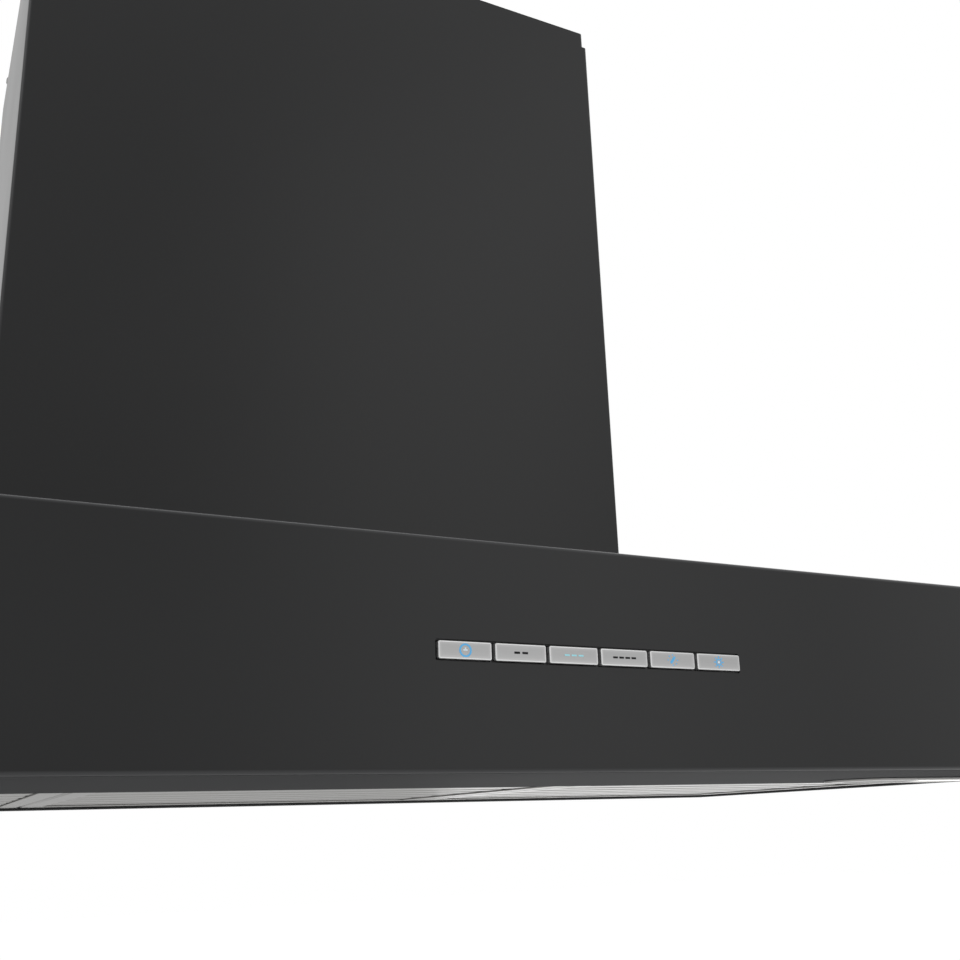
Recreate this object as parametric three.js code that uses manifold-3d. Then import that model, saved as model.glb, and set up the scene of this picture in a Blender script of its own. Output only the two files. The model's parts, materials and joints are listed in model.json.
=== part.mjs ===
// Wall-mounted chimney range hood with a flat box canopy, a telescoping chimney, three baffle
// filters, a row of six keys and a double-inlet blower. Millimetres, +Z up. The wall is the plane
// Y = 0 and the hood's front faces -Y. Pieces are laid out over the canopy's lower rim (Z = 0 here),
// and the whole hood is then lowered so that the origin is the middle of the wall rail's back.
import * as THREE from 'three';
import { mergeVertices } from 'three/addons/utils/BufferGeometryUtils.js';
import Module from 'manifold-3d';

// ---------------------------------------------------------------- driving dimensions
const GAP = 0.3; // between pieces that seat on each other
const SHEET = 1.2; // enamelled steel
const FOLD = 2.2; // outer radius of a sheet's fold

const CANOPY_WIDTH = 1000;
const CANOPY_DEPTH = 500;
const CANOPY_HEIGHT = 109;
const FRONT_RIM = 18; // widths of the canopy's bottom rims
const SIDE_RIM = 18;
const REAR_RIM = 26;
const LAMP_ZONE = 160; // depth of the dark strip under the front edge
const REAR_FLANGE = 18;

const CHIMNEY_WIDTH = 434;
const CHIMNEY_DEPTH = 291;
const LOWER_HEIGHT = 500;
const UPPER_HEIGHT = 470;
const UPPER_PROUD = 15; // of the upper section over the lower one, pushed right down
const SLIDE_GAP = 0.8; // between the two sections
const CHIMNEY_RETURN = 14; // width of the folds along the chimney's rear edges
const VENT_SLOTS = 6;
const VENT_LENGTH = 64;
const VENT_WIDTH = 5;
const VENT_PITCH = 14;
const VENT_DROP = 72; // of the first slot under the upper section's top

const KEY_COUNT = 6;
const KEY_ROW_X = 55; // of the row's middle, to the right of the canopy's
const KEY_WIDTH = 27.3;
const KEY_SPACE = 1.9; // between neighbouring keys
const KEY_HEIGHT = 8.3;
const KEY_PROUD = 1.5;
const KEY_CENTRE = 55; // height over the rim
const KEY_SLOT_GAP = 0.9; // between the keys and their slot's edge
const KEY_TRAVEL = 1.2;
const KEYPAD_BORDER = 9; // of the housing round the row of keys
const KEYPAD_GUIDE = 9.5; // depth of the housing that guides the keys

const FILTER_COUNT = 3;
const FILTER_GAP = 1.4;
const FILTER_HEIGHT = 12;
const FILTER_LIP = 14;
const FILTER_FRONT_LIP = 30;
const FILTER_SHEET = 1;
const FILTER_END_GAP = 1.5;
const BAFFLE_COUNT = 7; // channels in the lower row; the upper row has one less
const BAFFLE_WIDTH = 27;
const BAFFLE_HEIGHT = 6;
const TAB_LENGTH = 8; // of the rear tabs that lie on the canopy's rear rim
const TAB_WIDTH = 24;
const LATCH_TRAVEL = 6;
const LATCH_WIDTH = 76;
const TONGUE_WIDTH = 24;
const TONGUE_REACH = 4; // of the latch's tongue past the filter's front
const FINGER_WIDTH = 64;
const FINGER_DEPTH = 20;

const LAMP_CENTRE_X = 383;
const LAMP_FROM_FRONT = 116;
const LAMP_LENGTH = 140;
const LAMP_WIDTH = 52;
const LENS_LENGTH = 116;
const LENS_WIDTH = 28;
const LAMP_WALL = 6; // of the bezel's neck
const LAMP_DEPTH = 8;
const LAMP_BOARD = 1.6;
const LED_COUNT = 6;

const POWER_WIDTH = 134; // the power box in the canopy's front
const POWER_DEPTH = 92;
const POWER_HEIGHT = 30;
const POWER_WALL = 1.6;
const POWER_FROM_MIDDLE = 236;
const POWER_FROM_FRONT = 22;
const POWER_LEDGE = 14; // height of the board's ledges in the box

const BOX_SIDE_ROOM = 82; // from the blower's plenum box to the chimney's outer faces
const BOX_FRONT_ROOM = 17;
const BOX_BACK = 14; // distance of its rear face from the wall
const BOX_FOOT = 10; // width of its fixing flanges
const BOX_HEIGHT = 285;
const BOX_SHEET = 1;
const INTAKE_MARGIN = 12; // from the box's walls to the canopy's intake opening
const GRILLE_BAR = 4;
const GRILLE_SPACE = 12;

const IMPELLER_RADIUS = 78;
const BLADE_COUNT = 28;
const BLADE_DEPTH = 14; // radial
const BLADE_HALF = 60; // half the impeller's length
const BLADE_THICKNESS = 1.1;
const SCROLL_GAP = 8; // at the tongue
const SCROLL_GROWTH = 39; // from the tongue to the outlet wall
const SCROLL_SWEEP = 290; // degrees
const SCROLL_WALL = 2.5;
const SCROLL_SIDE_GAP = 5.5; // from the impeller's end to the scroll's side plate
const SCROLL_BACK_GAP = 1.2; // to the blower box's rear wall
const INLET_RADIUS = 62;
const INLET_LIP = 6;
const SCROLL_START = 110; // degrees, from the rear towards the top
const AXIS_OVER_CANOPY = 122;
const SHAFT_RADIUS = 4;
const MOTOR_RADIUS = 45;
const MOTOR_LENGTH = 52;

const DUCT_RADIUS = 75;
const DUCT_ROOM = 10; // from its flange to the terminal box
const DUCT_HEIGHT = 46;
const DUCT_WALL = 1.5;
const DUCT_FLANGE = 8;
const SPINDLE_RADIUS = 2.5;
const SPINDLE_LIFT = 16; // over the blower box
const FLAP_THICKNESS = 1.2;
const KNUCKLE_WALL = 1.5;

const TERMINAL_WIDTH = 120;
const TERMINAL_DEPTH = 70;
const TERMINAL_HEIGHT = 34;
const TERMINAL_WALL = 2;
const TERMINAL_FROM_WALL = 22;
const GLAND_BORE = 4; // radii of the mains inlet
const GLAND_NECK = 7.7;

const RAIL_HEIGHT = 350; // of the wall rail's channel over the canopy's rim
const RAIL_END_ROOM = 6; // from the rail's end to the chimney's rear fold
const RAIL_SHEET = 2;
const HOOK_WIDTH = 44;
const HOOK_SPREAD = 92; // of each hook from the middle

// ---------------------------------------------------------------- places that follow from them
const HALF_WIDTH = CANOPY_WIDTH / 2;
const CANOPY_TOP = CANOPY_HEIGHT;
const CEILING = CANOPY_TOP - SHEET; // the canopy's inner top face
const LAMP_EDGE = -CANOPY_DEPTH + LAMP_ZONE; // the lamp panel's rear face
const KEY_PITCH = KEY_WIDTH + KEY_SPACE;
const ROW_WIDTH = (KEY_COUNT - 1) * KEY_PITCH + KEY_WIDTH;
const FILTER_OPENING = CANOPY_WIDTH - 2 * SIDE_RIM;
const FILTER_WIDTH = (FILTER_OPENING - (FILTER_COUNT + 1) * FILTER_GAP) / FILTER_COUNT;
const FILTER_PITCH = FILTER_WIDTH + FILTER_GAP;
const FILTER_FRONT = LAMP_EDGE + FILTER_END_GAP;
const FILTER_REAR = -REAR_RIM - FILTER_END_GAP;
const FILTER_LIFT = SHEET + GAP; // of the filters' faces over the rim's underside
const FILTER_TOP = FILTER_LIFT + FILTER_HEIGHT;
const LATCH_BASE = FILTER_LIFT + 6.6; // underside of the latch plate
const BOX_WIDTH = CHIMNEY_WIDTH - 2 * BOX_SIDE_ROOM;
const BOX_FRONT = CHIMNEY_DEPTH - BOX_FRONT_ROOM;
const RAIL_LENGTH = CHIMNEY_WIDTH - 2 * (CHIMNEY_RETURN + RAIL_END_ROOM);
const DUCT_FROM_WALL = TERMINAL_FROM_WALL + TERMINAL_DEPTH + DUCT_ROOM + DUCT_FLANGE + DUCT_RADIUS;
const BOX_BOTTOM = CANOPY_TOP + GAP;
const BOX_TOP = BOX_BOTTOM + BOX_HEIGHT;
const SCROLL_REAR = IMPELLER_RADIUS + SCROLL_GAP + SCROLL_WALL
  + (SCROLL_GROWTH * SCROLL_START) / SCROLL_SWEEP; // the scroll's reach behind the impeller's axis
const SCROLL_HALF = BLADE_HALF + SCROLL_SIDE_GAP + SCROLL_WALL;
const AXIS_Y = -BOX_BACK - BOX_SHEET - SCROLL_BACK_GAP - SCROLL_REAR;
const AXIS_Z = CANOPY_TOP + AXIS_OVER_CANOPY;
const LAMP_Y = -CANOPY_DEPTH + LAMP_FROM_FRONT;
const SPINDLE_Z = BOX_TOP + SPINDLE_LIFT;
const PANEL_INSIDE = -CANOPY_DEPTH + SHEET; // the canopy front's inner face
const GUIDE_FRONT = PANEL_INSIDE + GAP;
const GUIDE_REAR = GUIDE_FRONT + KEYPAD_GUIDE;

// ---------------------------------------------------------------- outlines, as lists of [u, v]
// Points on an arc round (u, v), from one angle to another.
function arc(u, v, radius, from, to, steps) {
  return Array.from({ length: steps + 1 }, (_, i) => {
    const angle = from + ((to - from) * i) / steps;
    return [u + radius * Math.cos(angle), v + radius * Math.sin(angle)];
  });
}

function circle(radius, sides, u = 0, v = 0) {
  return arc(u, v, radius, 0, 2 * Math.PI, sides).slice(0, sides);
}

function roundedRectangle(u0, u1, v0, v1, radius, steps = 3) {
  const quarter = Math.PI / 2;
  return [
    ...arc(u1 - radius, v0 + radius, radius, -quarter, 0, steps),
    ...arc(u1 - radius, v1 - radius, radius, 0, quarter, steps),
    ...arc(u0 + radius, v1 - radius, radius, quarter, 2 * quarter, steps),
    ...arc(u0 + radius, v0 + radius, radius, 2 * quarter, 3 * quarter, steps),
  ];
}

function stadium(length, width, u = 0, v = 0, steps = 6) {
  const reach = (length - width) / 2;
  return [
    ...arc(u + reach, v, width / 2, -Math.PI / 2, Math.PI / 2, steps),
    ...arc(u - reach, v, width / 2, Math.PI / 2, (3 * Math.PI) / 2, steps),
  ];
}

// The section of a folded sheet: one face follows the points, each bend has the given radius on
// that face, and the metal lies to the left of it (to the right for a negative thickness).
function folded(points, thickness, bend = 0, steps = 3) {
  const unit = ([u0, v0], [u1, v1]) => {
    const length = Math.hypot(u1 - u0, v1 - v0);
    return [(u1 - u0) / length, (v1 - v0) / length];
  };
  const face = [];
  const back = [];
  const add = ([u, v], [nu, nv], reach) => {
    face.push([u, v]);
    back.push([u + nu * thickness * reach, v + nv * thickness * reach]);
  };
  points.forEach((point, i) => {
    const before = i > 0 ? unit(points[i - 1], point) : unit(point, points[i + 1]);
    const after = i < points.length - 1 ? unit(point, points[i + 1]) : before;
    const turn = Math.atan2(before[0] * after[1] - before[1] * after[0],
      before[0] * after[0] + before[1] * after[1]);
    const middle = Math.atan2(before[1], before[0]) + turn / 2 + Math.PI / 2;
    if (!turn || !bend) {
      add(point, [Math.cos(middle), Math.sin(middle)], 1 / Math.cos(turn / 2));
      return;
    }
    const side = Math.sign(turn);
    const centre = [
      point[0] + (side * bend * Math.cos(middle)) / Math.cos(turn / 2),
      point[1] + (side * bend * Math.sin(middle)) / Math.cos(turn / 2),
    ];
    for (let k = 0; k <= steps; k += 1) {
      const normal = middle - turn / 2 + (turn * k) / steps;
      const lean = [Math.cos(normal), Math.sin(normal)];
      add([centre[0] - side * bend * lean[0], centre[1] - side * bend * lean[1]], lean, 1);
    }
  });
  return [...face, ...back.reverse()];
}

// ---------------------------------------------------------------- solids
const wasm = await Module();
wasm.setup();

function solid(geometry) {
  const bare = new THREE.BufferGeometry();
  bare.setAttribute('position', geometry.getAttribute('position'));
  bare.setIndex(geometry.getIndex());
  const merged = mergeVertices(bare, 1e-4);
  return new wasm.Manifold(new wasm.Mesh({
    numProp: 3,
    vertProperties: merged.getAttribute('position').array,
    triVerts: Uint32Array.from(merged.getIndex().array),
  }));
}

// An outline carried straight along x, y or z. Its u and v are the other two axes, in that order.
function prism(outline, from, to, along = 'z') {
  const shape = new THREE.Shape(outline.map(([u, v]) => new THREE.Vector2(u, v)));
  const depth = to - from;
  const geometry = new THREE.ExtrudeGeometry(shape, { depth, bevelEnabled: false });
  if (along === 'y') {
    geometry.translate(0, 0, -to).rotateX(Math.PI / 2);
  } else {
    geometry.translate(0, 0, from);
  }
  if (along === 'x') {
    const [x, y, z] = [new THREE.Vector3(1, 0, 0), new THREE.Vector3(0, 1, 0),
      new THREE.Vector3(0, 0, 1)];
    geometry.applyMatrix4(new THREE.Matrix4().makeBasis(y, z, x));
  }
  return solid(geometry);
}

function block([x0, x1], [y0, y1], [z0, z1]) {
  const geometry = new THREE.BoxGeometry(x1 - x0, y1 - y0, z1 - z0);
  return solid(geometry.translate((x0 + x1) / 2, (y0 + y1) / 2, (z0 + z1) / 2));
}

// A closed profile of [radius, x] turned round the X axis. Its points run counter-clockwise, or the
// faces would point inwards, so a clockwise profile is reversed.
function turned(profile, sides) {
  const points = profile.map(([radius, x]) => new THREE.Vector2(radius, x));
  if (THREE.ShapeUtils.isClockWise(points)) points.reverse();
  const geometry = new THREE.LatheGeometry([...points, points[0]], sides);
  return solid(geometry.rotateZ(-Math.PI / 2));
}

// A cable of round section through hand-placed points.
function loom(points, radius, steps) {
  const route = new THREE.CatmullRomCurve3(points.map((p) => new THREE.Vector3(...p)));
  const section = new THREE.Shape(circle(radius, 6).map(([u, v]) => new THREE.Vector2(u, v)));
  return solid(new THREE.ExtrudeGeometry(section, { steps, extrudePath: route }));
}

const join = (pieces) => pieces.reduce((whole, piece) => whole.add(piece));
const mirrorX = (piece) => piece.mirror([1, 0, 0]);

const enamel = { color: 0x35373a, roughness: 0.32, metalness: 0.1 };
const stainless = { color: 0xc2c4c4, roughness: 0.34, metalness: 0.9 };
const keyMetal = { color: 0xa9abac, roughness: 0.4, metalness: 0.85 };
const zinc = { color: 0x9aa0a3, roughness: 0.5, metalness: 0.75 };
const darkPlastic = { color: 0x1d1e20, roughness: 0.6, metalness: 0 };
const greyPlastic = { color: 0x6e7276, roughness: 0.6, metalness: 0 };
const frosted = { color: 0xf4f4ee, roughness: 0.3, metalness: 0 };
const circuit = { color: 0x2f5a3a, roughness: 0.5, metalness: 0 };
const silicone = { color: 0x8d9092, roughness: 0.8, metalness: 0 };

const hood = new THREE.Group();
hood.position.z = -RAIL_HEIGHT;

function place(name, shape, finish, at = [0, 0, 0]) {
  const made = shape.getMesh();
  const geometry = new THREE.BufferGeometry();
  geometry.setAttribute('position', new THREE.BufferAttribute(made.vertProperties, 3));
  geometry.setIndex(new THREE.BufferAttribute(made.triVerts, 1));
  geometry.computeVertexNormals();
  const mesh = new THREE.Mesh(geometry, new THREE.MeshStandardMaterial(finish));
  mesh.name = name;
  mesh.position.set(...at);
  hood.add(mesh);
}

// ---------------------------------------------------------------- canopy
// One wrapped sheet is the front rim, front and top. Two ends and three bottom rims are welded on.
function canopyShell() {
  const wrap = folded([[-CANOPY_DEPTH + FRONT_RIM, 0], [-CANOPY_DEPTH, 0],
    [-CANOPY_DEPTH, CANOPY_HEIGHT], [0, CANOPY_HEIGHT]], -SHEET, FOLD);
  const end = [[0, 0], [0, CANOPY_HEIGHT],
    ...arc(-CANOPY_DEPTH + FOLD, CANOPY_HEIGHT - FOLD, FOLD, Math.PI / 2, Math.PI, 3),
    ...arc(-CANOPY_DEPTH + FOLD, FOLD, FOLD, Math.PI, 1.5 * Math.PI, 3)];
  const sideRim = block([HALF_WIDTH - SIDE_RIM, HALF_WIDTH],
    [-CANOPY_DEPTH + FRONT_RIM - FOLD, 0], [0, SHEET]);
  const endPlate = prism(end, HALF_WIDTH - SHEET, HALF_WIDTH, 'x').add(sideRim);
  const rearRim = block([-HALF_WIDTH, HALF_WIDTH], [-REAR_RIM, 0], [0, SHEET]);
  const slotHalf = [ROW_WIDTH / 2 + KEY_SLOT_GAP, KEY_HEIGHT / 2 + KEY_SLOT_GAP];
  const keySlot = prism(roundedRectangle(-slotHalf[0], slotHalf[0], -slotHalf[1], slotHalf[1], 1.2),
    -CANOPY_DEPTH - 1, -CANOPY_DEPTH + 2 * SHEET, 'y').translate([KEY_ROW_X, 0, KEY_CENTRE]);
  const intake = block([-BOX_WIDTH / 2 + INTAKE_MARGIN, BOX_WIDTH / 2 - INTAKE_MARGIN],
    [-BOX_FRONT + INTAKE_MARGIN, -BOX_BACK - INTAKE_MARGIN], [CEILING - 1, CANOPY_TOP + 1]);
  return join([prism(wrap, -HALF_WIDTH, HALF_WIDTH, 'x'), endPlate, mirrorX(endPlate), rearRim])
    .subtract(keySlot)
    .subtract(intake);
}

function canopyRearPanel() {
  const low = SHEET + GAP;
  const high = CEILING - GAP;
  const section = folded([[-REAR_FLANGE, high], [0, high], [0, low], [-REAR_FLANGE, low]],
    -SHEET, FOLD);
  const reach = HALF_WIDTH - SHEET - GAP;
  return prism(section, -reach, reach, 'x');
}

// The front edge laps over the canopy's front rim, and the rear edge turns up, with a slot for
// each filter's latch.
const PANEL_FLANGE = 26;
function lampPanel() {
  const front = -CANOPY_DEPTH + FRONT_RIM + GAP;
  const lap = SHEET + GAP;
  const section = [[front, 0], [LAMP_EDGE, 0], [LAMP_EDGE, PANEL_FLANGE],
    [LAMP_EDGE - SHEET, PANEL_FLANGE], [LAMP_EDGE - SHEET, SHEET], [front + SHEET, SHEET],
    [front + SHEET, lap + SHEET], [front - 13, lap + SHEET], [front - 13, lap], [front, lap]];
  const reach = HALF_WIDTH - SIDE_RIM - GAP;
  let panel = prism(section, -reach, reach, 'x');
  [-1, 1].forEach((side) => {
    const neck = stadium(LENS_LENGTH + 2 * LAMP_WALL + 2 * GAP, LENS_WIDTH + 2 * LAMP_WALL + 2 * GAP,
      side * LAMP_CENTRE_X, LAMP_Y);
    panel = panel.subtract(prism(neck, -1, SHEET + 1));
  });
  filterCentres().forEach((x) => {
    panel = panel.subtract(block([x - TONGUE_WIDTH / 2 - 1, x + TONGUE_WIDTH / 2 + 1],
      [LAMP_EDGE - 2 * SHEET, LAMP_EDGE + SHEET], [LATCH_BASE - GAP, LATCH_BASE + SHEET + 1]));
  });
  return panel;
}

// Keeps grease off the electronics in the front of the canopy.
function servicePartition() {
  const y = LAMP_EDGE - SHEET - GAP;
  const section = folded([[y, LATCH_BASE + 6], [y, CEILING - GAP], [y - 22, CEILING - GAP]],
    SHEET, FOLD);
  const reach = HALF_WIDTH - SHEET - GAP;
  return prism(section, -reach, reach, 'x');
}

place('canopy_shell', canopyShell(), enamel);
place('canopy_rear_panel', canopyRearPanel(), zinc);
place('lamp_panel', lampPanel(), enamel);
place('service_partition', servicePartition(), zinc);

// ---------------------------------------------------------------- lamps
function lampBezel() {
  const flange = prism(stadium(LAMP_LENGTH, LAMP_WIDTH), -SHEET - GAP, -GAP);
  const neck = prism(stadium(LENS_LENGTH + 2 * LAMP_WALL, LENS_WIDTH + 2 * LAMP_WALL), -GAP, LAMP_DEPTH);
  return flange.add(neck).subtract(prism(stadium(LENS_LENGTH, LENS_WIDTH), -5, LAMP_DEPTH + 5));
}

function lampLens() {
  return prism(stadium(LENS_LENGTH - 2 * GAP, LENS_WIDTH - 2 * GAP), -1, 2.5);
}

function lampBoard() {
  const plate = prism(stadium(LENS_LENGTH + LAMP_WALL, LENS_WIDTH + LAMP_WALL),
    LAMP_DEPTH + GAP, LAMP_DEPTH + GAP + LAMP_BOARD);
  const pitch = (LENS_LENGTH - LENS_WIDTH) / (LED_COUNT - 1);
  const chips = Array.from({ length: LED_COUNT }, (_, i) => {
    const x = (i - (LED_COUNT - 1) / 2) * pitch;
    return block([x - 2.5, x + 2.5], [-2.5, 2.5], [LAMP_DEPTH - 0.9, LAMP_DEPTH + 0.5]);
  });
  return join([plate, ...chips]);
}

[['left', -1], ['right', 1]].forEach(([side, sign]) => {
  const at = [sign * LAMP_CENTRE_X, LAMP_Y, 0];
  place(`lamp_bezel_${side}`, lampBezel(), stainless, at);
  place(`lamp_lens_${side}`, lampLens(), frosted, at);
  place(`lamp_board_${side}`, lampBoard(), circuit, at);
});

// ---------------------------------------------------------------- filters
function filterCentres() {
  return Array.from({ length: FILTER_COUNT }, (_, i) => (i - (FILTER_COUNT - 1) / 2) * FILTER_PITCH);
}

// A hollow frame, open in the middle above and below, with two interleaved rows of channels
// between its lips: the lower row opens upwards and the upper row downwards.
function filterCassette() {
  const half = FILTER_WIDTH / 2;
  const inside = half - FILTER_SHEET;
  const low = FILTER_LIFT + FILTER_SHEET;
  const high = FILTER_TOP - FILTER_SHEET;
  const windowFront = FILTER_FRONT + FILTER_FRONT_LIP;
  const windowRear = FILTER_REAR - FILTER_LIP;
  const frame = block([-half, half], [FILTER_FRONT, FILTER_REAR], [FILTER_LIFT, FILTER_TOP])
    .subtract(block([-inside, inside], [FILTER_FRONT + FILTER_SHEET, FILTER_REAR - FILTER_SHEET],
      [low, high]))
    .subtract(block([-half + FILTER_LIP, half - FILTER_LIP], [windowFront, windowRear], [-5, 25]));
  const tab = block([0, TAB_WIDTH], [FILTER_REAR - FILTER_SHEET, FILTER_REAR + TAB_LENGTH],
    [FILTER_LIFT, FILTER_LIFT + SHEET]).translate([half / 2, 0, 0]);
  const bite = 0.2; // of the channels into the lips
  const tuck = 2; // of the end channels behind the lips
  const reach = half - FILTER_LIP / 2;
  const span = windowRear - windowFront + 2 * tuck;
  const pitch = (span - BAFFLE_WIDTH) / (BAFFLE_COUNT - 1);
  const rows = [];
  for (let i = 0; i < BAFFLE_COUNT; i += 1) {
    const front = windowFront - tuck + i * pitch;
    const rear = front + BAFFLE_WIDTH;
    const floor = low - bite;
    rows.push(folded([[front, floor + BAFFLE_HEIGHT], [front, floor], [rear, floor],
      [rear, floor + BAFFLE_HEIGHT]], FILTER_SHEET));
    if (i === BAFFLE_COUNT - 1) continue;
    const [over, past] = [front + pitch / 2, rear + pitch / 2];
    const roof = high + bite;
    rows.push(folded([[past, roof - BAFFLE_HEIGHT], [past, roof], [over, roof],
      [over, roof - BAFFLE_HEIGHT]], FILTER_SHEET));
  }
  const fingerRear = FILTER_FRONT + 6 + FINGER_DEPTH;
  return join([frame, tab, mirrorX(tab), ...rows.map((row) => prism(row, -reach, reach, 'x'))])
    .subtract(block([-FINGER_WIDTH / 2, FINGER_WIDTH / 2], [FILTER_FRONT + 6, fingerRear],
      [FILTER_LIFT - 1, low + 1]))
    .subtract(block([-TONGUE_WIDTH / 2 - GAP, TONGUE_WIDTH / 2 + GAP],
      [FILTER_FRONT - 1, FILTER_FRONT + 2 * FILTER_SHEET], [LATCH_BASE - GAP, LATCH_BASE + SHEET + GAP]));
}

// A plate that slides in the filter's front border, with a tongue through the border's wall and a
// finger lip that hangs in the border's window.
function filterLatch() {
  const front = FILTER_FRONT + FILTER_SHEET + GAP;
  const rear = FILTER_FRONT + FILTER_FRONT_LIP - LATCH_TRAVEL - 2;
  const lipRear = FILTER_FRONT + 6 + FINGER_DEPTH - LATCH_TRAVEL - 0.5;
  const plate = block([-LATCH_WIDTH / 2, LATCH_WIDTH / 2], [front, rear], [LATCH_BASE, LATCH_BASE + SHEET]);
  const tongue = block([-TONGUE_WIDTH / 2, TONGUE_WIDTH / 2], [FILTER_FRONT - TONGUE_REACH, front + 1],
    [LATCH_BASE, LATCH_BASE + SHEET]);
  const lip = prism(roundedRectangle(-FINGER_WIDTH / 2 + 4, FINGER_WIDTH / 2 - 4,
    FILTER_LIFT + 0.6, LATCH_BASE + 0.4, 1.5), lipRear - SHEET, lipRear, 'y');
  return join([plate, tongue, lip]);
}

['left', 'middle', 'right'].forEach((side, i) => {
  const at = [filterCentres()[i], 0, 0];
  place(`filter_${side}`, filterCassette(), stainless, at);
  place(`filter_latch_${side}`, filterLatch(), stainless, at);
});

// ---------------------------------------------------------------- keypad
const FLANGE_REACH = 1.8; // of a key's flange over and under its guide
const FLANGE_THICKNESS = 1.5;
const DOME_HEIGHT = 2.5;

function keyCentres() {
  return Array.from({ length: KEY_COUNT }, (_, i) => (i - (KEY_COUNT - 1) / 2) * KEY_PITCH);
}

function keyCap() {
  const half = [KEY_WIDTH / 2, KEY_HEIGHT / 2];
  const cap = prism(roundedRectangle(-half[0], half[0], -half[1], half[1], 0.9, 2),
    -CANOPY_DEPTH - KEY_PROUD, GUIDE_REAR + GAP, 'y');
  const flange = block([-half[0], half[0]], [GUIDE_REAR + GAP, GUIDE_REAR + GAP + FLANGE_THICKNESS],
    [-half[1] - FLANGE_REACH, half[1] + FLANGE_REACH]);
  return cap.add(flange);
}

const keypadHalf = ROW_WIDTH / 2 + KEYPAD_BORDER;
const keypadRise = KEY_HEIGHT / 2 + KEYPAD_BORDER;
const domeFront = GUIDE_REAR + GAP + FLANGE_THICKNESS + KEY_TRAVEL + GAP;
const boardFront = domeFront + DOME_HEIGHT + 1 + GAP;
const boardRear = boardFront + 1.6;
const coverWall = 1.5;
const coverPost = 2.5;

function keypadHousing() {
  const body = prism(roundedRectangle(-keypadHalf, keypadHalf, -keypadRise, keypadRise, 2),
    GUIDE_FRONT, GUIDE_REAR, 'y');
  const bores = keyCentres().map((x) => block([x - KEY_WIDTH / 2 - GAP, x + KEY_WIDTH / 2 + GAP],
    [GUIDE_FRONT - 1, GUIDE_REAR + 1], [-KEY_HEIGHT / 2 - GAP, KEY_HEIGHT / 2 + GAP]));
  return body.subtract(join(bores));
}

function domeMat() {
  const base = block([-ROW_WIDTH / 2, ROW_WIDTH / 2], [domeFront + DOME_HEIGHT, domeFront + DOME_HEIGHT + 1],
    [-keypadRise + 4, keypadRise - 4]);
  const domes = keyCentres().map((x) => {
    const dome = new THREE.CylinderGeometry(3.4, 2.2, DOME_HEIGHT + 0.5, 10);
    return solid(dome.translate(x, domeFront + (DOME_HEIGHT + 0.5) / 2, 0));
  });
  return join([base, ...domes]);
}

function controlBoard() {
  const board = block([-ROW_WIDTH / 2 - 4, ROW_WIDTH / 2 + 4], [boardFront, boardRear],
    [-keypadRise + 2.5, keypadRise - 2.5]);
  return board.add(block([50, 68], [boardRear - 0.2, boardRear + 1.6], [-5, 1]));
}

function keypadCover() {
  const front = GUIDE_REAR + GAP;
  const rear = boardRear + coverPost + coverWall;
  const post = block([-4, 4], [boardRear + GAP, rear - 1], [-3, 3]);
  return prism(roundedRectangle(-keypadHalf, keypadHalf, -keypadRise, keypadRise, 2), front, rear, 'y')
    .subtract(block([-keypadHalf + coverWall, keypadHalf - coverWall], [front - 1, rear - coverWall],
      [-keypadRise + coverWall, keypadRise - coverWall]))
    .add(post.translate([-ROW_WIDTH / 2 + 4, 0, 0]))
    .add(post.translate([ROW_WIDTH / 2 - 4, 0, 0]));
}

const keyRow = [KEY_ROW_X, 0, KEY_CENTRE];
place('keypad_housing', keypadHousing(), darkPlastic, keyRow);
place('keypad_dome_mat', domeMat(), silicone, keyRow);
place('control_board', controlBoard(), circuit, keyRow);
place('keypad_cover', keypadCover(), darkPlastic, keyRow);
keyCentres().forEach((x, i) => place(`key_${i + 1}`, keyCap(), keyMetal, [KEY_ROW_X + x, 0, KEY_CENTRE]));

// ---------------------------------------------------------------- power box in the canopy's front
const powerTop = CEILING - GAP;
const powerBottom = powerTop - POWER_HEIGHT;
const ledge = powerBottom + POWER_LEDGE; // underside of the ledges that the board hangs from
const powerLeft = POWER_FROM_MIDDLE;
const powerRight = powerLeft + POWER_WIDTH;
const powerFront = -CANOPY_DEPTH + POWER_FROM_FRONT;
const powerRear = powerFront + POWER_DEPTH;

// The power box's outline, drawn in by the given distance all round.
function powerSpan(inset) {
  return [[powerLeft + inset, powerRight - inset], [powerFront + inset, powerRear - inset]];
}

function powerBox() {
  const ledgeSpan = [powerFront + 30, powerRear - 30];
  const bite = 0.1;
  const ledges = [[powerLeft + POWER_WALL - bite, powerLeft + 8],
    [powerRight - 8, powerRight - POWER_WALL + bite]];
  return block(...powerSpan(0), [powerBottom, powerTop])
    .subtract(block(...powerSpan(POWER_WALL), [powerBottom - 1, powerTop - POWER_WALL]))
    .add(join(ledges.map((span) => block(span, ledgeSpan, [ledge, ledge + 2]))));
}

function powerBoxLid() {
  const plate = powerBottom - GAP;
  const inset = POWER_WALL + GAP;
  const rim = block(...powerSpan(inset), [plate - 0.2, powerBottom + 2])
    .subtract(block(...powerSpan(2 * inset), [plate, powerBottom + 3]));
  return block(...powerSpan(0), [plate - POWER_WALL, plate]).add(rim);
}

// The board, with a transformer and three relays on its underside.
function powerBoard() {
  const top = ledge - GAP;
  const under = [top - 10, top - 1];
  const board = block(...powerSpan(4), [top - 1.6, top]);
  const transformer = block([powerLeft + 14, powerLeft + 46], [powerFront + 20, powerFront + 52], under);
  const relays = [0, 1, 2].map((i) => {
    const start = powerLeft + 62 + i * 18;
    return block([start, start + 13], [powerFront + 48, powerFront + 72], under);
  });
  return join([board, transformer, ...relays]);
}

place('power_box', powerBox(), greyPlastic);
place('power_box_lid', powerBoxLid(), greyPlastic);
place('power_board', powerBoard(), circuit);

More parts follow.
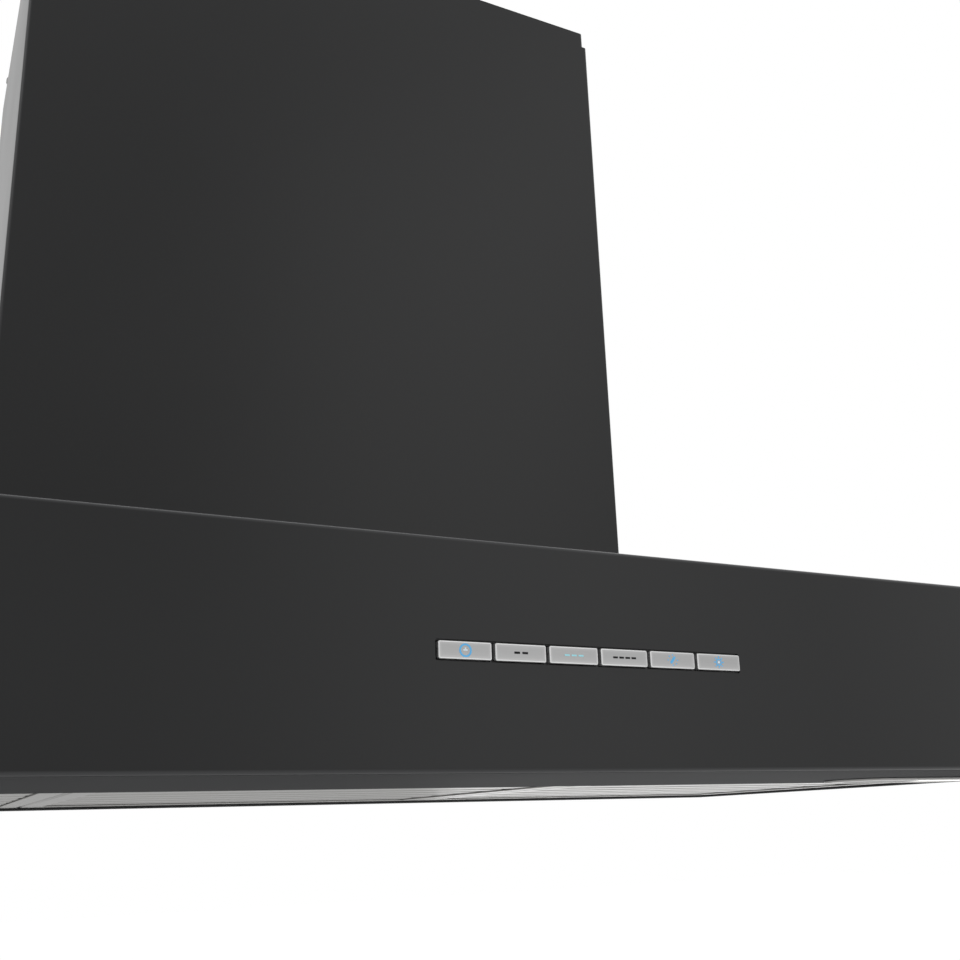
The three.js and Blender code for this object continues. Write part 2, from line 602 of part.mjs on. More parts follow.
// ---------------------------------------------------------------- blower
function blowerBox() {
  const half = BOX_WIDTH / 2;
  const foot = folded([[half + BOX_FOOT, BOX_BOTTOM], [half, BOX_BOTTOM], [half, BOX_BOTTOM + 12]],
    -BOX_SHEET);
  const feet = prism(foot, -BOX_FRONT, -BOX_BACK, 'y');
  return block([-half, half], [-BOX_FRONT, -BOX_BACK], [BOX_BOTTOM, BOX_TOP])
    .subtract(block([-half + BOX_SHEET, half - BOX_SHEET], [-BOX_FRONT + BOX_SHEET, -BOX_BACK - BOX_SHEET],
      [BOX_BOTTOM - 1, BOX_TOP - BOX_SHEET]))
    .subtract(prism(circle(DUCT_RADIUS - DUCT_WALL - 2, 32, 0, -DUCT_FROM_WALL), BOX_TOP - 5, BOX_TOP + 5))
    .add(feet)
    .add(mirrorX(feet));
}

// A finger guard of parallel bars under the blower's intake.
function intakeGrille() {
  const half = BOX_WIDTH / 2 - INTAKE_MARGIN / 2;
  const [front, rear] = [-BOX_FRONT + INTAKE_MARGIN / 2, -BOX_BACK - INTAKE_MARGIN / 2];
  const top = CEILING - GAP;
  const pitch = GRILLE_BAR + GRILLE_SPACE;
  const count = Math.floor((2 * half - 2 * INTAKE_MARGIN + GRILLE_BAR) / pitch);
  let grille = block([-half, half], [front, rear], [top - 1.6, top]);
  for (let i = 0; i < count; i += 1) {
    const x = (i - (count - 1) / 2) * pitch;
    grille = grille.subtract(block([x - GRILLE_SPACE / 2, x + GRILLE_SPACE / 2],
      [front + INTAKE_MARGIN, rear - INTAKE_MARGIN], [top - 5, top + 5]));
  }
  return grille;
}

// The scroll's outline in the Y, Z plane: a spiral from the tongue, over the rear and under the
// impeller to the front, then a straight outlet up to the box's top.
function scrollOutline(offset) {
  const start = (SCROLL_START * Math.PI) / 180;
  const sweep = (SCROLL_SWEEP * Math.PI) / 180;
  const steps = 24;
  const tongue = IMPELLER_RADIUS + SCROLL_GAP;
  const spiral = Array.from({ length: steps + 1 }, (_, i) => {
    const share = i / steps;
    const radius = tongue + SCROLL_GROWTH * share + offset;
    const angle = start - sweep * share;
    return [AXIS_Y + radius * Math.cos(angle), AXIS_Z + radius * Math.sin(angle)];
  });
  const top = BOX_TOP - BOX_SHEET - GAP;
  const outletRear = AXIS_Y + tongue * Math.cos(start) - 3 + offset;
  const outletFront = AXIS_Y - tongue - SCROLL_GROWTH - offset;
  return [...spiral, [outletFront, top], [outletRear, top],
    [outletRear, AXIS_Z + tongue * Math.sin(start) + 3 + offset]];
}

// One half of the scroll, from its side plate to the split at x = 0, with a rounded inlet lip whose
// outer edge is let into the plate.
function scrollHalf() {
  const plate = SCROLL_HALF - SCROLL_WALL;
  const sides = 26;
  const rim = INLET_RADIUS + INLET_LIP;
  const [lipFace, lipWall, letIn] = [SCROLL_HALF - 0.3, 1.8, 1];
  const crown = lipFace - INLET_LIP;
  const lip = turned([
    ...arc(rim, crown, INLET_LIP, Math.PI, Math.PI / 2, 2),
    [rim + letIn, lipFace],
    [rim + letIn, lipFace - lipWall],
    ...arc(rim, crown, INLET_LIP - lipWall, Math.PI / 2, Math.PI, 2),
  ], sides);
  const hole = turned([[0, plate - 5], [rim, plate - 5], [rim, SCROLL_HALF + 5], [0, SCROLL_HALF + 5]],
    sides);
  return prism(scrollOutline(SCROLL_WALL), GAP / 2, SCROLL_HALF, 'x')
    .subtract(prism(scrollOutline(0), -1, plate, 'x'))
    .subtract(hole.translate([0, AXIS_Y, AXIS_Z]))
    .add(lip.translate([0, AXIS_Y, AXIS_Z]));
}

// Forward-curved blades between two end rings, carried by a middle disc with a hub.
function impeller() {
  const inner = IMPELLER_RADIUS - BLADE_DEPTH;
  const curl = BLADE_DEPTH * 0.72;
  const section = folded(arc(inner + BLADE_DEPTH / 2, curl * 0.6, curl, Math.PI * 1.26, Math.PI * 1.86, 2),
    BLADE_THICKNESS);
  const blade = prism(section, 1 - BLADE_HALF, BLADE_HALF - 1, 'x');
  const blades = Array.from({ length: BLADE_COUNT }, (_, i) => blade.rotate([(360 * i) / BLADE_COUNT, 0, 0]));
  const outer = IMPELLER_RADIUS + 1.5;
  const ring = turned([[inner + 1, BLADE_HALF - 2.5], [outer, BLADE_HALF - 2.5], [outer, BLADE_HALF],
    [inner + 1, BLADE_HALF]], BLADE_COUNT);
  const rim = inner + 3;
  const disc = turned([[SHAFT_RADIUS + GAP, -11], [13, -11], [13, -1.2], [rim, -1.2], [rim, 1.2],
    [13, 1.2], [13, 11], [SHAFT_RADIUS + GAP, 11]], BLADE_COUNT);
  return join([disc, ring, mirrorX(ring), ...blades]);
}

const MOTOR_FACE = -SCROLL_HALF; // the motor's outer end, in the left inlet
function motor() {
  const end = MOTOR_FACE + MOTOR_LENGTH;
  return turned([[0, MOTOR_FACE], [MOTOR_RADIUS - 6, MOTOR_FACE], [MOTOR_RADIUS, MOTOR_FACE + 6],
    [MOTOR_RADIUS, end - 6], [MOTOR_RADIUS - 6, end], [12, end], [12, end + 3],
    [SHAFT_RADIUS + GAP, end + 3], [SHAFT_RADIUS + GAP, end - 8], [0, end - 8]], 20);
}

function motorShaft() {
  return turned([[0, MOTOR_FACE + MOTOR_LENGTH - 7], [SHAFT_RADIUS, MOTOR_FACE + MOTOR_LENGTH - 7],
    [SHAFT_RADIUS, 16], [SHAFT_RADIUS - 1, 17], [0, 17]], 12);
}

// A three-armed spider over the left inlet.
function motorBracket() {
  const [inside, outside] = [MOTOR_FACE - GAP, MOTOR_FACE - GAP - 2.5];
  const arm = roundedRectangle(0, INLET_RADIUS + INLET_LIP + 16, -9, 9, 4, 2);
  const arms = [90, 210, 330].map((angle) => prism(arm, outside, inside, 'x').rotate([angle, 0, 0]));
  return join([prism(circle(34, 20), outside, inside, 'x'), ...arms]);
}

function runCapacitor() {
  const radius = 15;
  const x = BOX_WIDTH / 2 - BOX_SHEET - GAP - radius;
  const can = new THREE.CylinderGeometry(radius, radius, 52, 20);
  const cap = new THREE.CylinderGeometry(radius - 3, radius - 3, 6, 20);
  return solid(can.translate(x, -BOX_FRONT + 60, BOX_BOTTOM + 34))
    .add(solid(cap.translate(x, -BOX_FRONT + 88, BOX_BOTTOM + 34)));
}

const onAxis = [0, AXIS_Y, AXIS_Z];
place('blower_box', blowerBox(), zinc);
place('intake_grille', intakeGrille(), darkPlastic);
place('scroll_housing_right', scrollHalf(), darkPlastic);
place('scroll_housing_left', mirrorX(scrollHalf()), darkPlastic);
place('impeller', impeller(), greyPlastic, onAxis);
place('motor_shaft', motorShaft(), stainless, onAxis);
place('motor', motor(), zinc, onAxis);
place('motor_bracket', motorBracket(), zinc, onAxis);
place('run_capacitor', runCapacitor(), greyPlastic);

// ---------------------------------------------------------------- outlet collar and flaps
const ductAxis = [0, -DUCT_FROM_WALL, 0];

function outletCollar() {
  const base = BOX_TOP + GAP;
  const bore = DUCT_RADIUS - DUCT_WALL;
  return prism(circle(DUCT_RADIUS + DUCT_FLANGE, 32), base, base + DUCT_WALL)
    .add(prism(circle(DUCT_RADIUS, 32), base, base + DUCT_HEIGHT))
    .subtract(prism(circle(bore, 32), base - 1, base + DUCT_HEIGHT + 1))
    .subtract(prism(circle(SPINDLE_RADIUS + GAP, 12, 0, SPINDLE_Z), -DUCT_RADIUS - 1, DUCT_RADIUS + 1, 'x'));
}

// A half disc in front of or behind the spindle, with two knuckles round it.
function flap(sign) {
  const radius = DUCT_RADIUS - DUCT_WALL - 2;
  const knuckle = SPINDLE_RADIUS + GAP + KNUCKLE_WALL;
  const edge = knuckle + 1;
  const reach = Math.asin(edge / radius);
  const half = arc(0, 0, radius, reach, Math.PI - reach, 16).map(([u, v]) => [u, sign * v]);
  const [outer, middle, inner] = [radius - 5.5, radius / 2, 2];
  const barrels = [[-sign * outer, -sign * middle], [sign * (middle - 2), sign * inner]]
    .map((span) => span.sort((a, b) => a - b));
  const parts = [prism(half, SPINDLE_Z - FLAP_THICKNESS / 2, SPINDLE_Z + FLAP_THICKNESS / 2)];
  barrels.forEach(([from, to]) => {
    parts.push(prism(circle(knuckle, 10, 0, SPINDLE_Z), from, to, 'x'));
    const web = [SPINDLE_RADIUS + GAP + 0.4, edge + 2].map((y) => sign * y).sort((a, b) => a - b);
    parts.push(block([from, to], web, [SPINDLE_Z - FLAP_THICKNESS / 2, SPINDLE_Z + FLAP_THICKNESS / 2]));
  });
  return join(parts).subtract(prism(circle(SPINDLE_RADIUS + GAP, 10, 0, SPINDLE_Z), -80, 80, 'x'));
}

place('outlet_collar', outletCollar(), darkPlastic, ductAxis);
place('damper_spindle', prism(circle(SPINDLE_RADIUS, 12, 0, SPINDLE_Z), -DUCT_RADIUS, DUCT_RADIUS, 'x'),
  stainless, ductAxis);
place('damper_flap_front', flap(-1), greyPlastic, ductAxis);
place('damper_flap_rear', flap(1), greyPlastic, ductAxis);

// ---------------------------------------------------------------- terminal box on the blower box
const terminalBase = BOX_TOP + GAP;
const terminalTop = terminalBase + TERMINAL_HEIGHT;
const terminalHalf = TERMINAL_WIDTH / 2;
const terminalMiddle = -TERMINAL_FROM_WALL - TERMINAL_DEPTH / 2;
const glandLevel = terminalBase + TERMINAL_HEIGHT / 2;

// The terminal box's outline, drawn in by the given distance all round.
function terminalSpan(inset) {
  const depth = TERMINAL_DEPTH / 2 - inset;
  return [[inset - terminalHalf, terminalHalf - inset], [terminalMiddle - depth, terminalMiddle + depth]];
}

function terminalBox() {
  const hole = circle(GLAND_NECK + GAP, 20, terminalMiddle, glandLevel);
  return block(...terminalSpan(0), [terminalBase, terminalTop])
    .subtract(block(...terminalSpan(TERMINAL_WALL), [terminalBase + TERMINAL_WALL, terminalTop + 1]))
    .subtract(prism(hole, -terminalHalf - 1, -terminalHalf + TERMINAL_WALL + 1, 'x'));
}

function terminalLid() {
  const inset = TERMINAL_WALL + GAP;
  const plate = terminalTop + GAP;
  const rim = block(...terminalSpan(inset), [terminalTop - 2, terminalTop + 1])
    .subtract(block(...terminalSpan(2 * inset), [terminalTop - 3, plate]));
  return block(...terminalSpan(0), [plate, plate + TERMINAL_WALL]).add(rim);
}

// The mains inlet: a neck through the box's wall, with a hexagon and a dome outside.
function cableGland() {
  const wall = -terminalHalf;
  const [shoulder, dome, tip, inside] = [wall - 12, wall - 22, wall - 26, wall + TERMINAL_WALL + 4];
  const neck = turned([[GLAND_BORE, inside], [GLAND_BORE, tip], [7, tip], [10, dome], [10, shoulder],
    [GLAND_NECK, shoulder], [GLAND_NECK, inside]], 14);
  const hexagon = prism(circle(12, 6), shoulder, wall - GAP, 'x')
    .subtract(prism(circle(GLAND_BORE + 1, 12), shoulder - 8, wall + 5, 'x'));
  return neck.add(hexagon);
}

place('terminal_box', terminalBox(), darkPlastic);
place('terminal_lid', terminalLid(), darkPlastic);
place('cable_gland', cableGland(), darkPlastic, [0, terminalMiddle, glandLevel]);

// ---------------------------------------------------------------- wall rail and hooks
// A plate against the wall with an upturned channel, and two hooks over the channel's lip.
const CHANNEL_FLOOR = RAIL_HEIGHT; // of the rail's channel
const CHANNEL_GAP = 3;
const LIP_HEIGHT = 14;

function wallRail() {
  const t = RAIL_SHEET;
  const lip = -t - CHANNEL_GAP;
  const section = [[0, RAIL_HEIGHT - 25], [0, RAIL_HEIGHT + 20], [-t, RAIL_HEIGHT + 20], [-t, CHANNEL_FLOOR],
    [lip, CHANNEL_FLOOR], [lip, CHANNEL_FLOOR + LIP_HEIGHT], [lip - t, CHANNEL_FLOOR + LIP_HEIGHT],
    [lip - t, CHANNEL_FLOOR - t], [-t, CHANNEL_FLOOR - t], [-t, RAIL_HEIGHT - 25]];
  let rail = prism(section, -RAIL_LENGTH / 2, RAIL_LENGTH / 2, 'x');
  [-1, 1].forEach((side) => {
    const hole = prism(circle(3, 16, side * (RAIL_LENGTH / 2 - 22), RAIL_HEIGHT - 13), -t - 1, 1, 'y');
    rail = rail.subtract(hole);
  });
  return rail;
}

function hangingHook() {
  const seat = CHANNEL_FLOOR + LIP_HEIGHT + GAP;
  const plateFace = -BOX_BACK + GAP;
  const tongueFace = -RAIL_SHEET - GAP;
  const section = folded([[plateFace, seat - 44], [plateFace, seat + RAIL_SHEET],
    [tongueFace, seat + RAIL_SHEET], [tongueFace, seat - LIP_HEIGHT + 2]], -RAIL_SHEET);
  return prism(section, -HOOK_WIDTH / 2, HOOK_WIDTH / 2, 'x');
}

place('wall_rail', wallRail(), zinc);
place('hanging_hook_left', hangingHook(), zinc, [-HOOK_SPREAD, 0, 0]);
place('hanging_hook_right', hangingHook(), zinc, [HOOK_SPREAD, 0, 0]);

// ---------------------------------------------------------------- chimney
// A channel open to the wall, with narrow folds along its rear edges.
function chimneySection(halfWidth, depth, back, bottom, height) {
  const fold = halfWidth - CHIMNEY_RETURN;
  const section = folded([[fold, back], [halfWidth, back], [halfWidth, -depth], [-halfWidth, -depth],
    [-halfWidth, back], [-fold, back]], -SHEET, FOLD);
  return prism(section, bottom, bottom + height);
}

const LOWER_HALF = CHIMNEY_WIDTH / 2;
const lowerBottom = CANOPY_TOP + GAP;
const lowerTop = lowerBottom + LOWER_HEIGHT;
const UPPER_HALF = LOWER_HALF - SHEET - SLIDE_GAP;
const UPPER_BACK = -SHEET - SLIDE_GAP;
const UPPER_DEPTH = CHIMNEY_DEPTH - SHEET - SLIDE_GAP;
const upperTop = lowerTop + UPPER_PROUD;
const upperBottom = upperTop - UPPER_HEIGHT;
const screwDrop = 7.5; // of the bracket's screws under the upper section's top
const screwY = -34;
const screwRadius = 2;

function upperSection() {
  let section = chimneySection(UPPER_HALF, UPPER_DEPTH, UPPER_BACK, upperBottom, UPPER_HEIGHT);
  for (let i = 0; i < VENT_SLOTS; i += 1) {
    const level = upperTop - VENT_DROP - i * VENT_PITCH;
    const slot = stadium(VENT_LENGTH, VENT_WIDTH, -UPPER_DEPTH / 2, level, 2);
    section = section.subtract(prism(slot, -UPPER_HALF - 1, UPPER_HALF + 1, 'x'));
  }
  const hole = circle(screwRadius + GAP, 12, screwY, upperTop - screwDrop);
  return section.subtract(prism(hole, -UPPER_HALF - 1, UPPER_HALF + 1, 'x'));
}

// Touches the wall in its middle and reaches forward along the upper section's side walls.
function chimneyBracket() {
  const arm = UPPER_HALF - SHEET - GAP;
  const step = UPPER_BACK - SHEET - GAP;
  const inside = UPPER_HALF - CHIMNEY_RETURN - 8;
  const section = folded([[arm, -62], [arm, step], [inside, step], [inside - 6, 0], [-inside + 6, 0],
    [-inside, step], [-arm, step], [-arm, -62]], SHEET + GAP, FOLD, 2);
  const hole = circle(screwRadius + 0.2, 12, screwY, upperTop - screwDrop);
  return prism(section, upperTop - 36, upperTop - 2)
    .subtract(prism(hole, -UPPER_HALF, UPPER_HALF, 'x'));
}

function bracketScrew() {
  return turned([[0, -8], [screwRadius - 0.1, -8], [screwRadius - 0.1, GAP], [3.6, GAP], [3.6, 1.4],
    [2.4, 2.6], [0, 2.6]], 14);
}

place('chimney_lower',
  chimneySection(LOWER_HALF, CHIMNEY_DEPTH, 0, lowerBottom, LOWER_HEIGHT), enamel);
place('chimney_upper', upperSection(), enamel);
place('chimney_bracket', chimneyBracket(), zinc);
place('bracket_screw_right', bracketScrew(), stainless, [UPPER_HALF, screwY, upperTop - screwDrop]);
place('bracket_screw_left', mirrorX(bracketScrew()), stainless, [-UPPER_HALF, screwY, upperTop - screwDrop]);

// ---------------------------------------------------------------- looms
const LOOM_RADIUS = 2.2;
const keypadRear = boardRear + coverPost + coverWall + GAP;
const ceilingRun = CEILING - LOOM_RADIUS - GAP;
const lowRun = ceilingRun - 8;
const leftRun = ceilingRun - 5;
const lampTop = LAMP_DEPTH + 2 * GAP + LAMP_BOARD;
const powerEntry = powerLeft - GAP;
const motorEnd = MOTOR_FACE - 3.1; // outer face of the motor's bracket, less the gap

function placeLoom(name, steps, points) {
  place(name, loom(points, LOOM_RADIUS, steps), darkPlastic);
}

placeLoom('keypad_loom', 14, [
  [KEY_ROW_X + 70, keypadRear, KEY_CENTRE],
  [KEY_ROW_X + 70, keypadRear + 12, KEY_CENTRE],
  [KEY_ROW_X + 82, keypadRear + 28, KEY_CENTRE + 22],
  [KEY_ROW_X + 110, keypadRear + 36, lowRun],
  [KEY_ROW_X + 140, keypadRear + 38, lowRun + 4],
  [powerEntry - 20, keypadRear + 38, lowRun],
  [powerEntry, keypadRear + 38, lowRun],
]);
placeLoom('lamp_loom_left', 22, [
  [-LAMP_CENTRE_X, LAMP_Y, lampTop],
  [-LAMP_CENTRE_X, LAMP_Y, lampTop + 14],
  [-LAMP_CENTRE_X, LAMP_Y - 20, 70],
  [-LAMP_CENTRE_X + 20, LAMP_Y - 26, leftRun],
  [-LAMP_CENTRE_X + 60, LAMP_Y - 26, leftRun],
  [-LAMP_CENTRE_X / 3, LAMP_Y - 26, leftRun],
  [LAMP_CENTRE_X / 6, LAMP_Y - 26, leftRun],
  [powerEntry - 30, LAMP_Y - 26, leftRun],
  [powerEntry, LAMP_Y - 26, leftRun],
]);
placeLoom('lamp_loom_right', 14, [
  [LAMP_CENTRE_X + 20, LAMP_Y, lampTop],
  [LAMP_CENTRE_X + 20, LAMP_Y, lampTop + 14],
  [LAMP_CENTRE_X + 20, LAMP_Y - 16, 60],
  [LAMP_CENTRE_X + 14, LAMP_Y - 30, 92],
  [powerRight + 10, LAMP_Y - 34, lowRun],
  [powerRight + GAP, LAMP_Y - 34, lowRun],
]);
placeLoom('motor_loom', 16, [
  [motorEnd, AXIS_Y, AXIS_Z],
  [MOTOR_FACE - 20, AXIS_Y, AXIS_Z],
  [MOTOR_FACE - 40, AXIS_Y + 12, AXIS_Z + 30],
  [MOTOR_FACE - 44, AXIS_Y + 34, AXIS_Z + 90],
  [MOTOR_FACE - 20, -60, BOX_TOP - 30],
  [MOTOR_FACE - 20, -60, BOX_TOP - BOX_SHEET - GAP],
]);

export default hood;
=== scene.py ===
"""Looks of a wall-mounted chimney range hood: enamelled skins, steel filters, keys and lamps.

Lengths are in metres, and in millimetres only where key_marks says so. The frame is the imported
model's: +X to the right of someone who faces the hood, +Y into the wall and +Z up, with the origin
at the middle of the wall rail's back face.
"""

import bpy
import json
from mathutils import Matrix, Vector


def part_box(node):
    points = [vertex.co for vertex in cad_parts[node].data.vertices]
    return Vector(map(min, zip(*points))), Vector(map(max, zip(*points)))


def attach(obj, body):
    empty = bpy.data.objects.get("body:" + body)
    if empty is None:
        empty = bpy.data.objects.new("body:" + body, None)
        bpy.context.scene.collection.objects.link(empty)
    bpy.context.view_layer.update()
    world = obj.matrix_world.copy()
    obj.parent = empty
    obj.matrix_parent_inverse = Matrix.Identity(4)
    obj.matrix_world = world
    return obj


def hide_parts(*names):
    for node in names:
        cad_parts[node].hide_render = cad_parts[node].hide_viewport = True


bl_info = {
    "name": "Chimney range hood",
    "version": (1, 0, 0),
    "blender": (4, 5, 0),
    "location": "View3D > Sidebar > Range hood",
    "description": "Skins, keys, filters, lamps and finishes of a wall-mounted range hood",
    "category": "Object",
}

import functools
import json
import math

import bmesh
import bpy
import numpy as np
from mathutils import Matrix, Vector

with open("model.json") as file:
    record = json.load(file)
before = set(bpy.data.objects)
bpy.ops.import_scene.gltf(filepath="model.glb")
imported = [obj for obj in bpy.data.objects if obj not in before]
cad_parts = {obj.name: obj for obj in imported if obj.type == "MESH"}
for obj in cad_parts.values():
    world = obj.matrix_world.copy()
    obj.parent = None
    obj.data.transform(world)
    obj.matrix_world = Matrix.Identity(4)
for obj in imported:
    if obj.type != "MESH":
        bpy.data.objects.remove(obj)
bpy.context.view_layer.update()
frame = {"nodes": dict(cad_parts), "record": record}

MM = 0.001
FOLD_STEPS = 8  # faces round a fold of the enamelled sheets
HOLD = 0.4 * MM  # flat strip kept next to a fold, so that the flat faces shade flat
FILTER_HOLD = 0.3 * MM  # the same on the filters' thinner steel
CLEAR = 0.02 * MM  # between faces that would otherwise lie in one plane
KEY_SET_BACK = 0.03 * MM  # of a key's face from the front of its solid
MARK_SET_BACK = 0.01 * MM  # of the marks, which so stand a little proud of the face
MARK_DEPTH = 0.12 * MM
FLOOR_REACH = 12.0  # from the middle of the floor to its sides
QUARTERS = np.arange(4) * math.pi / 2
KEYS = [f"key_{i}" for i in range(1, 7)]
FILTER_SIDES = ["left", "middle", "right"]
LAMP_SIDES = ["left", "right"]
X, Y, Z = range(3)


# ------------------------ sizes and colours of the user
def number(name, description, default, **more):
    """A number property."""
    return bpy.props.FloatProperty(name=name, description=description, default=default, **more)


def length(name, description, default, **limits):
    """A length property, shown in the scene's unit."""
    return number(name, description, default, unit="LENGTH", precision=5, **limits)


def angle(name, description, degrees):
    """An angle property, with its default in degrees."""
    return number(name, description, math.radians(degrees), unit="ROTATION")


def colour(name, description, default):
    """A linear colour property with its picker."""
    return bpy.props.FloatVectorProperty(
        name=name, description=description, default=default, subtype="COLOR", size=3, min=0, max=1
    )


class HoodSizes(bpy.types.PropertyGroup):
    """Sizes of the folds, edges and marks that the skins add to the plain model."""

    sheet: length("Sheet", "Thickness of the enamelled steel", 1.2 * MM, min=0.0004)
    fold: length("Fold", "Outer radius of a sheet's fold", 2.2 * MM, min=0.0005)
    rim: length("Rim", "Width of the canopy's front and side rims", 18 * MM, min=0.005)
    rear_rim: length("Rear rim", "Width of the canopy's rear rim", 26 * MM, min=0.005)
    chimney_return: length("Return", "Width of the chimney's rear folds", 14 * MM, min=0.005)
    key_height: length("Key height", "Height of a key's face", 8.3 * MM, min=0.002)
    key_gap: length("Key gap", "Room between the keys and their slot", 0.9 * MM, min=0.0003)
    key_edge: length("Key edge", "Rounding round a key's face", 0.45 * MM, min=0.0001)
    key_corner: length("Key corner", "Rounding of a key's corners", 0.9 * MM, min=0.0002)
    mark_width: length("Mark width", "Width of the lines on the keys", 0.42 * MM, min=0.0001)
    filter_sheet: length("Filter sheet", "Thickness of the filters' steel", 1.0 * MM, min=0.0003)
    filter_fold: length("Filter fold", "Outer radius of the filters' folds", 1.9 * MM, min=0.0004)
    filter_lip: length("Filter lip", "Width of a filter's border", 14 * MM, min=0.004)
    filter_front_lip: length("Front lip", "Width of a filter's front border", 30 * MM, min=0.026)
    tab_depth: length("Tabs", "Length of the filters' rear tabs", 8 * MM, min=0.002)
    bezel_edge: length("Bezel edge", "Rounding of the lamp bezels' rim", 0.5 * MM, min=0.0001)
    screw_radius: length("Screw head", "Radius of the screw heads", 3.4 * MM, min=0.001)


class HoodFinishes(bpy.types.PropertyGroup):
    """Colours of the finishes, in linear values."""

    enamel: colour("Enamel", "Black satin-gloss enamel", (0.0085, 0.0088, 0.0092))
    steel: colour("Stainless steel", "Brushed stainless steel", (0.33, 0.327, 0.318))
    key: colour("Key metal", "Satin metal of the keys", (0.31, 0.31, 0.31))
    zinc: colour("Zinc", "Zinc-plated sheet", (0.42, 0.44, 0.45))
    dark_plastic: colour("Dark plastic", "Black moulded plastic", (0.012, 0.012, 0.013))
    grey_plastic: colour("Grey plastic", "Grey moulded plastic", (0.14, 0.15, 0.16))
    lit_blue: colour("Lit blue", "Lit marks on the keys", (0.11, 0.38, 0.66))
    lit_cyan: colour("Lit cyan", "Marks of the speed that is on", (0.30, 0.60, 0.66))
    lit_white: colour("Lit white", "Centres of the lit marks", (0.62, 0.74, 0.82))
    ink: colour("Ink", "Unlit marks on the keys", (0.008, 0.008, 0.009))


class HoodStage(bpy.types.PropertyGroup):
    """The floor, the lights and the camera."""

    floor_drop: length("Floor", "Height of the floor", -1.15)
    camera_place: bpy.props.FloatVectorProperty(
        name="Camera", description="Place of the camera", unit="LENGTH", size=3,
        default=(-0.24603, -0.95822, -0.37359),
    )
    camera_yaw: angle("Yaw", "Turn of the view to the right of straight on", 27.502)
    camera_pitch: angle("Pitch", "Rise of the view", 15.879)
    camera_roll: angle("Roll", "Lean of the camera", -1.822)
    camera_lens: number("Lens", "Focal length for a sensor 36 mm wide", 41.915, min=1)
    camera_shift: number("Shift", "Rise of the picture, as a share of its width", 0.03125)
    world_level: number("World", "Strength of the even light from all round", 0.75, min=0)
    lamp_level: number("Lamps", "Brightness of the soft lamps' faces, 1 is white", 1.2, min=0)


# ------------------------ shader maths
class Wire:
    """One output socket of a node; arithmetic on it adds Math nodes to its tree."""

    def __init__(self, graph, socket):
        self.graph = graph
        self.socket = socket

    def _math(self, operation, *values, **settings):
        return self.graph.node("Math", values, operation=operation, **settings)

    def __add__(self, other):
        return self._math("ADD", self, other)

    def __radd__(self, other):
        return self._math("ADD", other, self)

    def __sub__(self, other):
        return self._math("SUBTRACT", self, other)

    def __rsub__(self, other):
        return self._math("SUBTRACT", other, self)

    def __mul__(self, other):
        return self._math("MULTIPLY", self, other)

    def __rmul__(self, other):
        return self._math("MULTIPLY", other, self)

    def above(self, level):
        return self._math("GREATER_THAN", self, level)

    def clamped(self):
        return self._math("ADD", self, 0.0, use_clamp=True)

    def size(self):
        return self._math("ABSOLUTE", self)


class Graph:
    """The node tree of one finish, with a Principled shader or a mix at its output."""

    def __init__(self, tree):
        self.tree = tree
        tree.nodes.clear()

    def node(self, kind, inputs=(), output=0, **settings):
        """Adds a shader node, sets its settings, then its inputs, and returns one output."""
        made = self.tree.nodes.new(f"ShaderNode{kind}")
        for name, value in settings.items():
            if name == "stops":
                for element, (position, tone) in zip(made.color_ramp.elements, value):
                    element.position, element.color = position, (*tone, 1.0)
            else:
                setattr(made, name, value)
        pairs = inputs.items() if isinstance(inputs, dict) else enumerate(inputs)
        for name, value in pairs:
            if isinstance(value, Wire):
                self.tree.links.new(value.socket, made.inputs[name])
            else:
                made.inputs[name].default_value = value
        return Wire(self, made.outputs[output]) if made.outputs else None

    @functools.cached_property
    def place(self):
        """Object coordinates, in metres."""
        return self.node("TexCoord", output="Object")

    def axis(self, letter):
        return self.node("SeparateXYZ", [self.place], "XYZ".index(letter))

    def red(self, colour_wire):
        return self.node("SeparateColor", [colour_wire], "Red")

    def shown(self):
        """1 for rays that see the surroundings: the camera's, reflections and transmission."""
        rays = self.node("LightPath").socket.node.outputs
        camera, glossy, through = [Wire(self, rays[f"Is {kind} Ray"])
                                   for kind in ("Camera", "Glossy", "Transmission")]
        return (camera + glossy + through).clamped()

    def rim(self):
        """How far a point lies on a fold or a rim, from 0 to 1, as its piece says."""
        return self.node("Attribute", output="Fac", attribute_name="rim")

    def stretched(self, scale):
        return self.node("Mapping", {"Vector": self.place, "Scale": scale})

    def noise(self, scale, detail=2.0, roughness=0.5):
        """Noise in the object's coordinates; a scale with three values stretches it."""
        place = self.place
        if isinstance(scale, tuple):
            place, scale = self.stretched(scale), 1.0
        values = {"Vector": place, "Scale": scale, "Detail": detail, "Roughness": roughness}
        return self.node("TexNoise", values)

    def tint(self, factor, low, high):
        """A colour between two, which are colours or wires, by a factor from 0 to 1."""
        low, high = [end if isinstance(end, Wire) else (*end, 1.0) for end in (low, high)]
        return self.node("Mix", {0: factor, 6: low, 7: high}, 2, data_type="RGBA")

    def bump(self, height, depth, strength):
        return self.node("Bump", {"Strength": strength, "Distance": depth, "Height": height})

    def principled(self, **inputs):
        named = {name.replace("_", " "): value for name, value in inputs.items()}
        self.node("OutputMaterial", [self.node("BsdfPrincipled", named)])


def shade(base, factor):
    """A colour made lighter or darker by a factor."""
    return tuple(min(1.0, channel * factor) for channel in base)


def finish(maker):
    """Marks a function as a finish; it is made once and shared by the pieces that wear it."""

    @functools.cache
    @functools.wraps(maker)
    def made():
        material = bpy.data.materials.new(maker.__name__)
        material.use_nodes = True
        maker(Graph(material.node_tree), bpy.context.scene.hood_finishes)
        return material

    return made


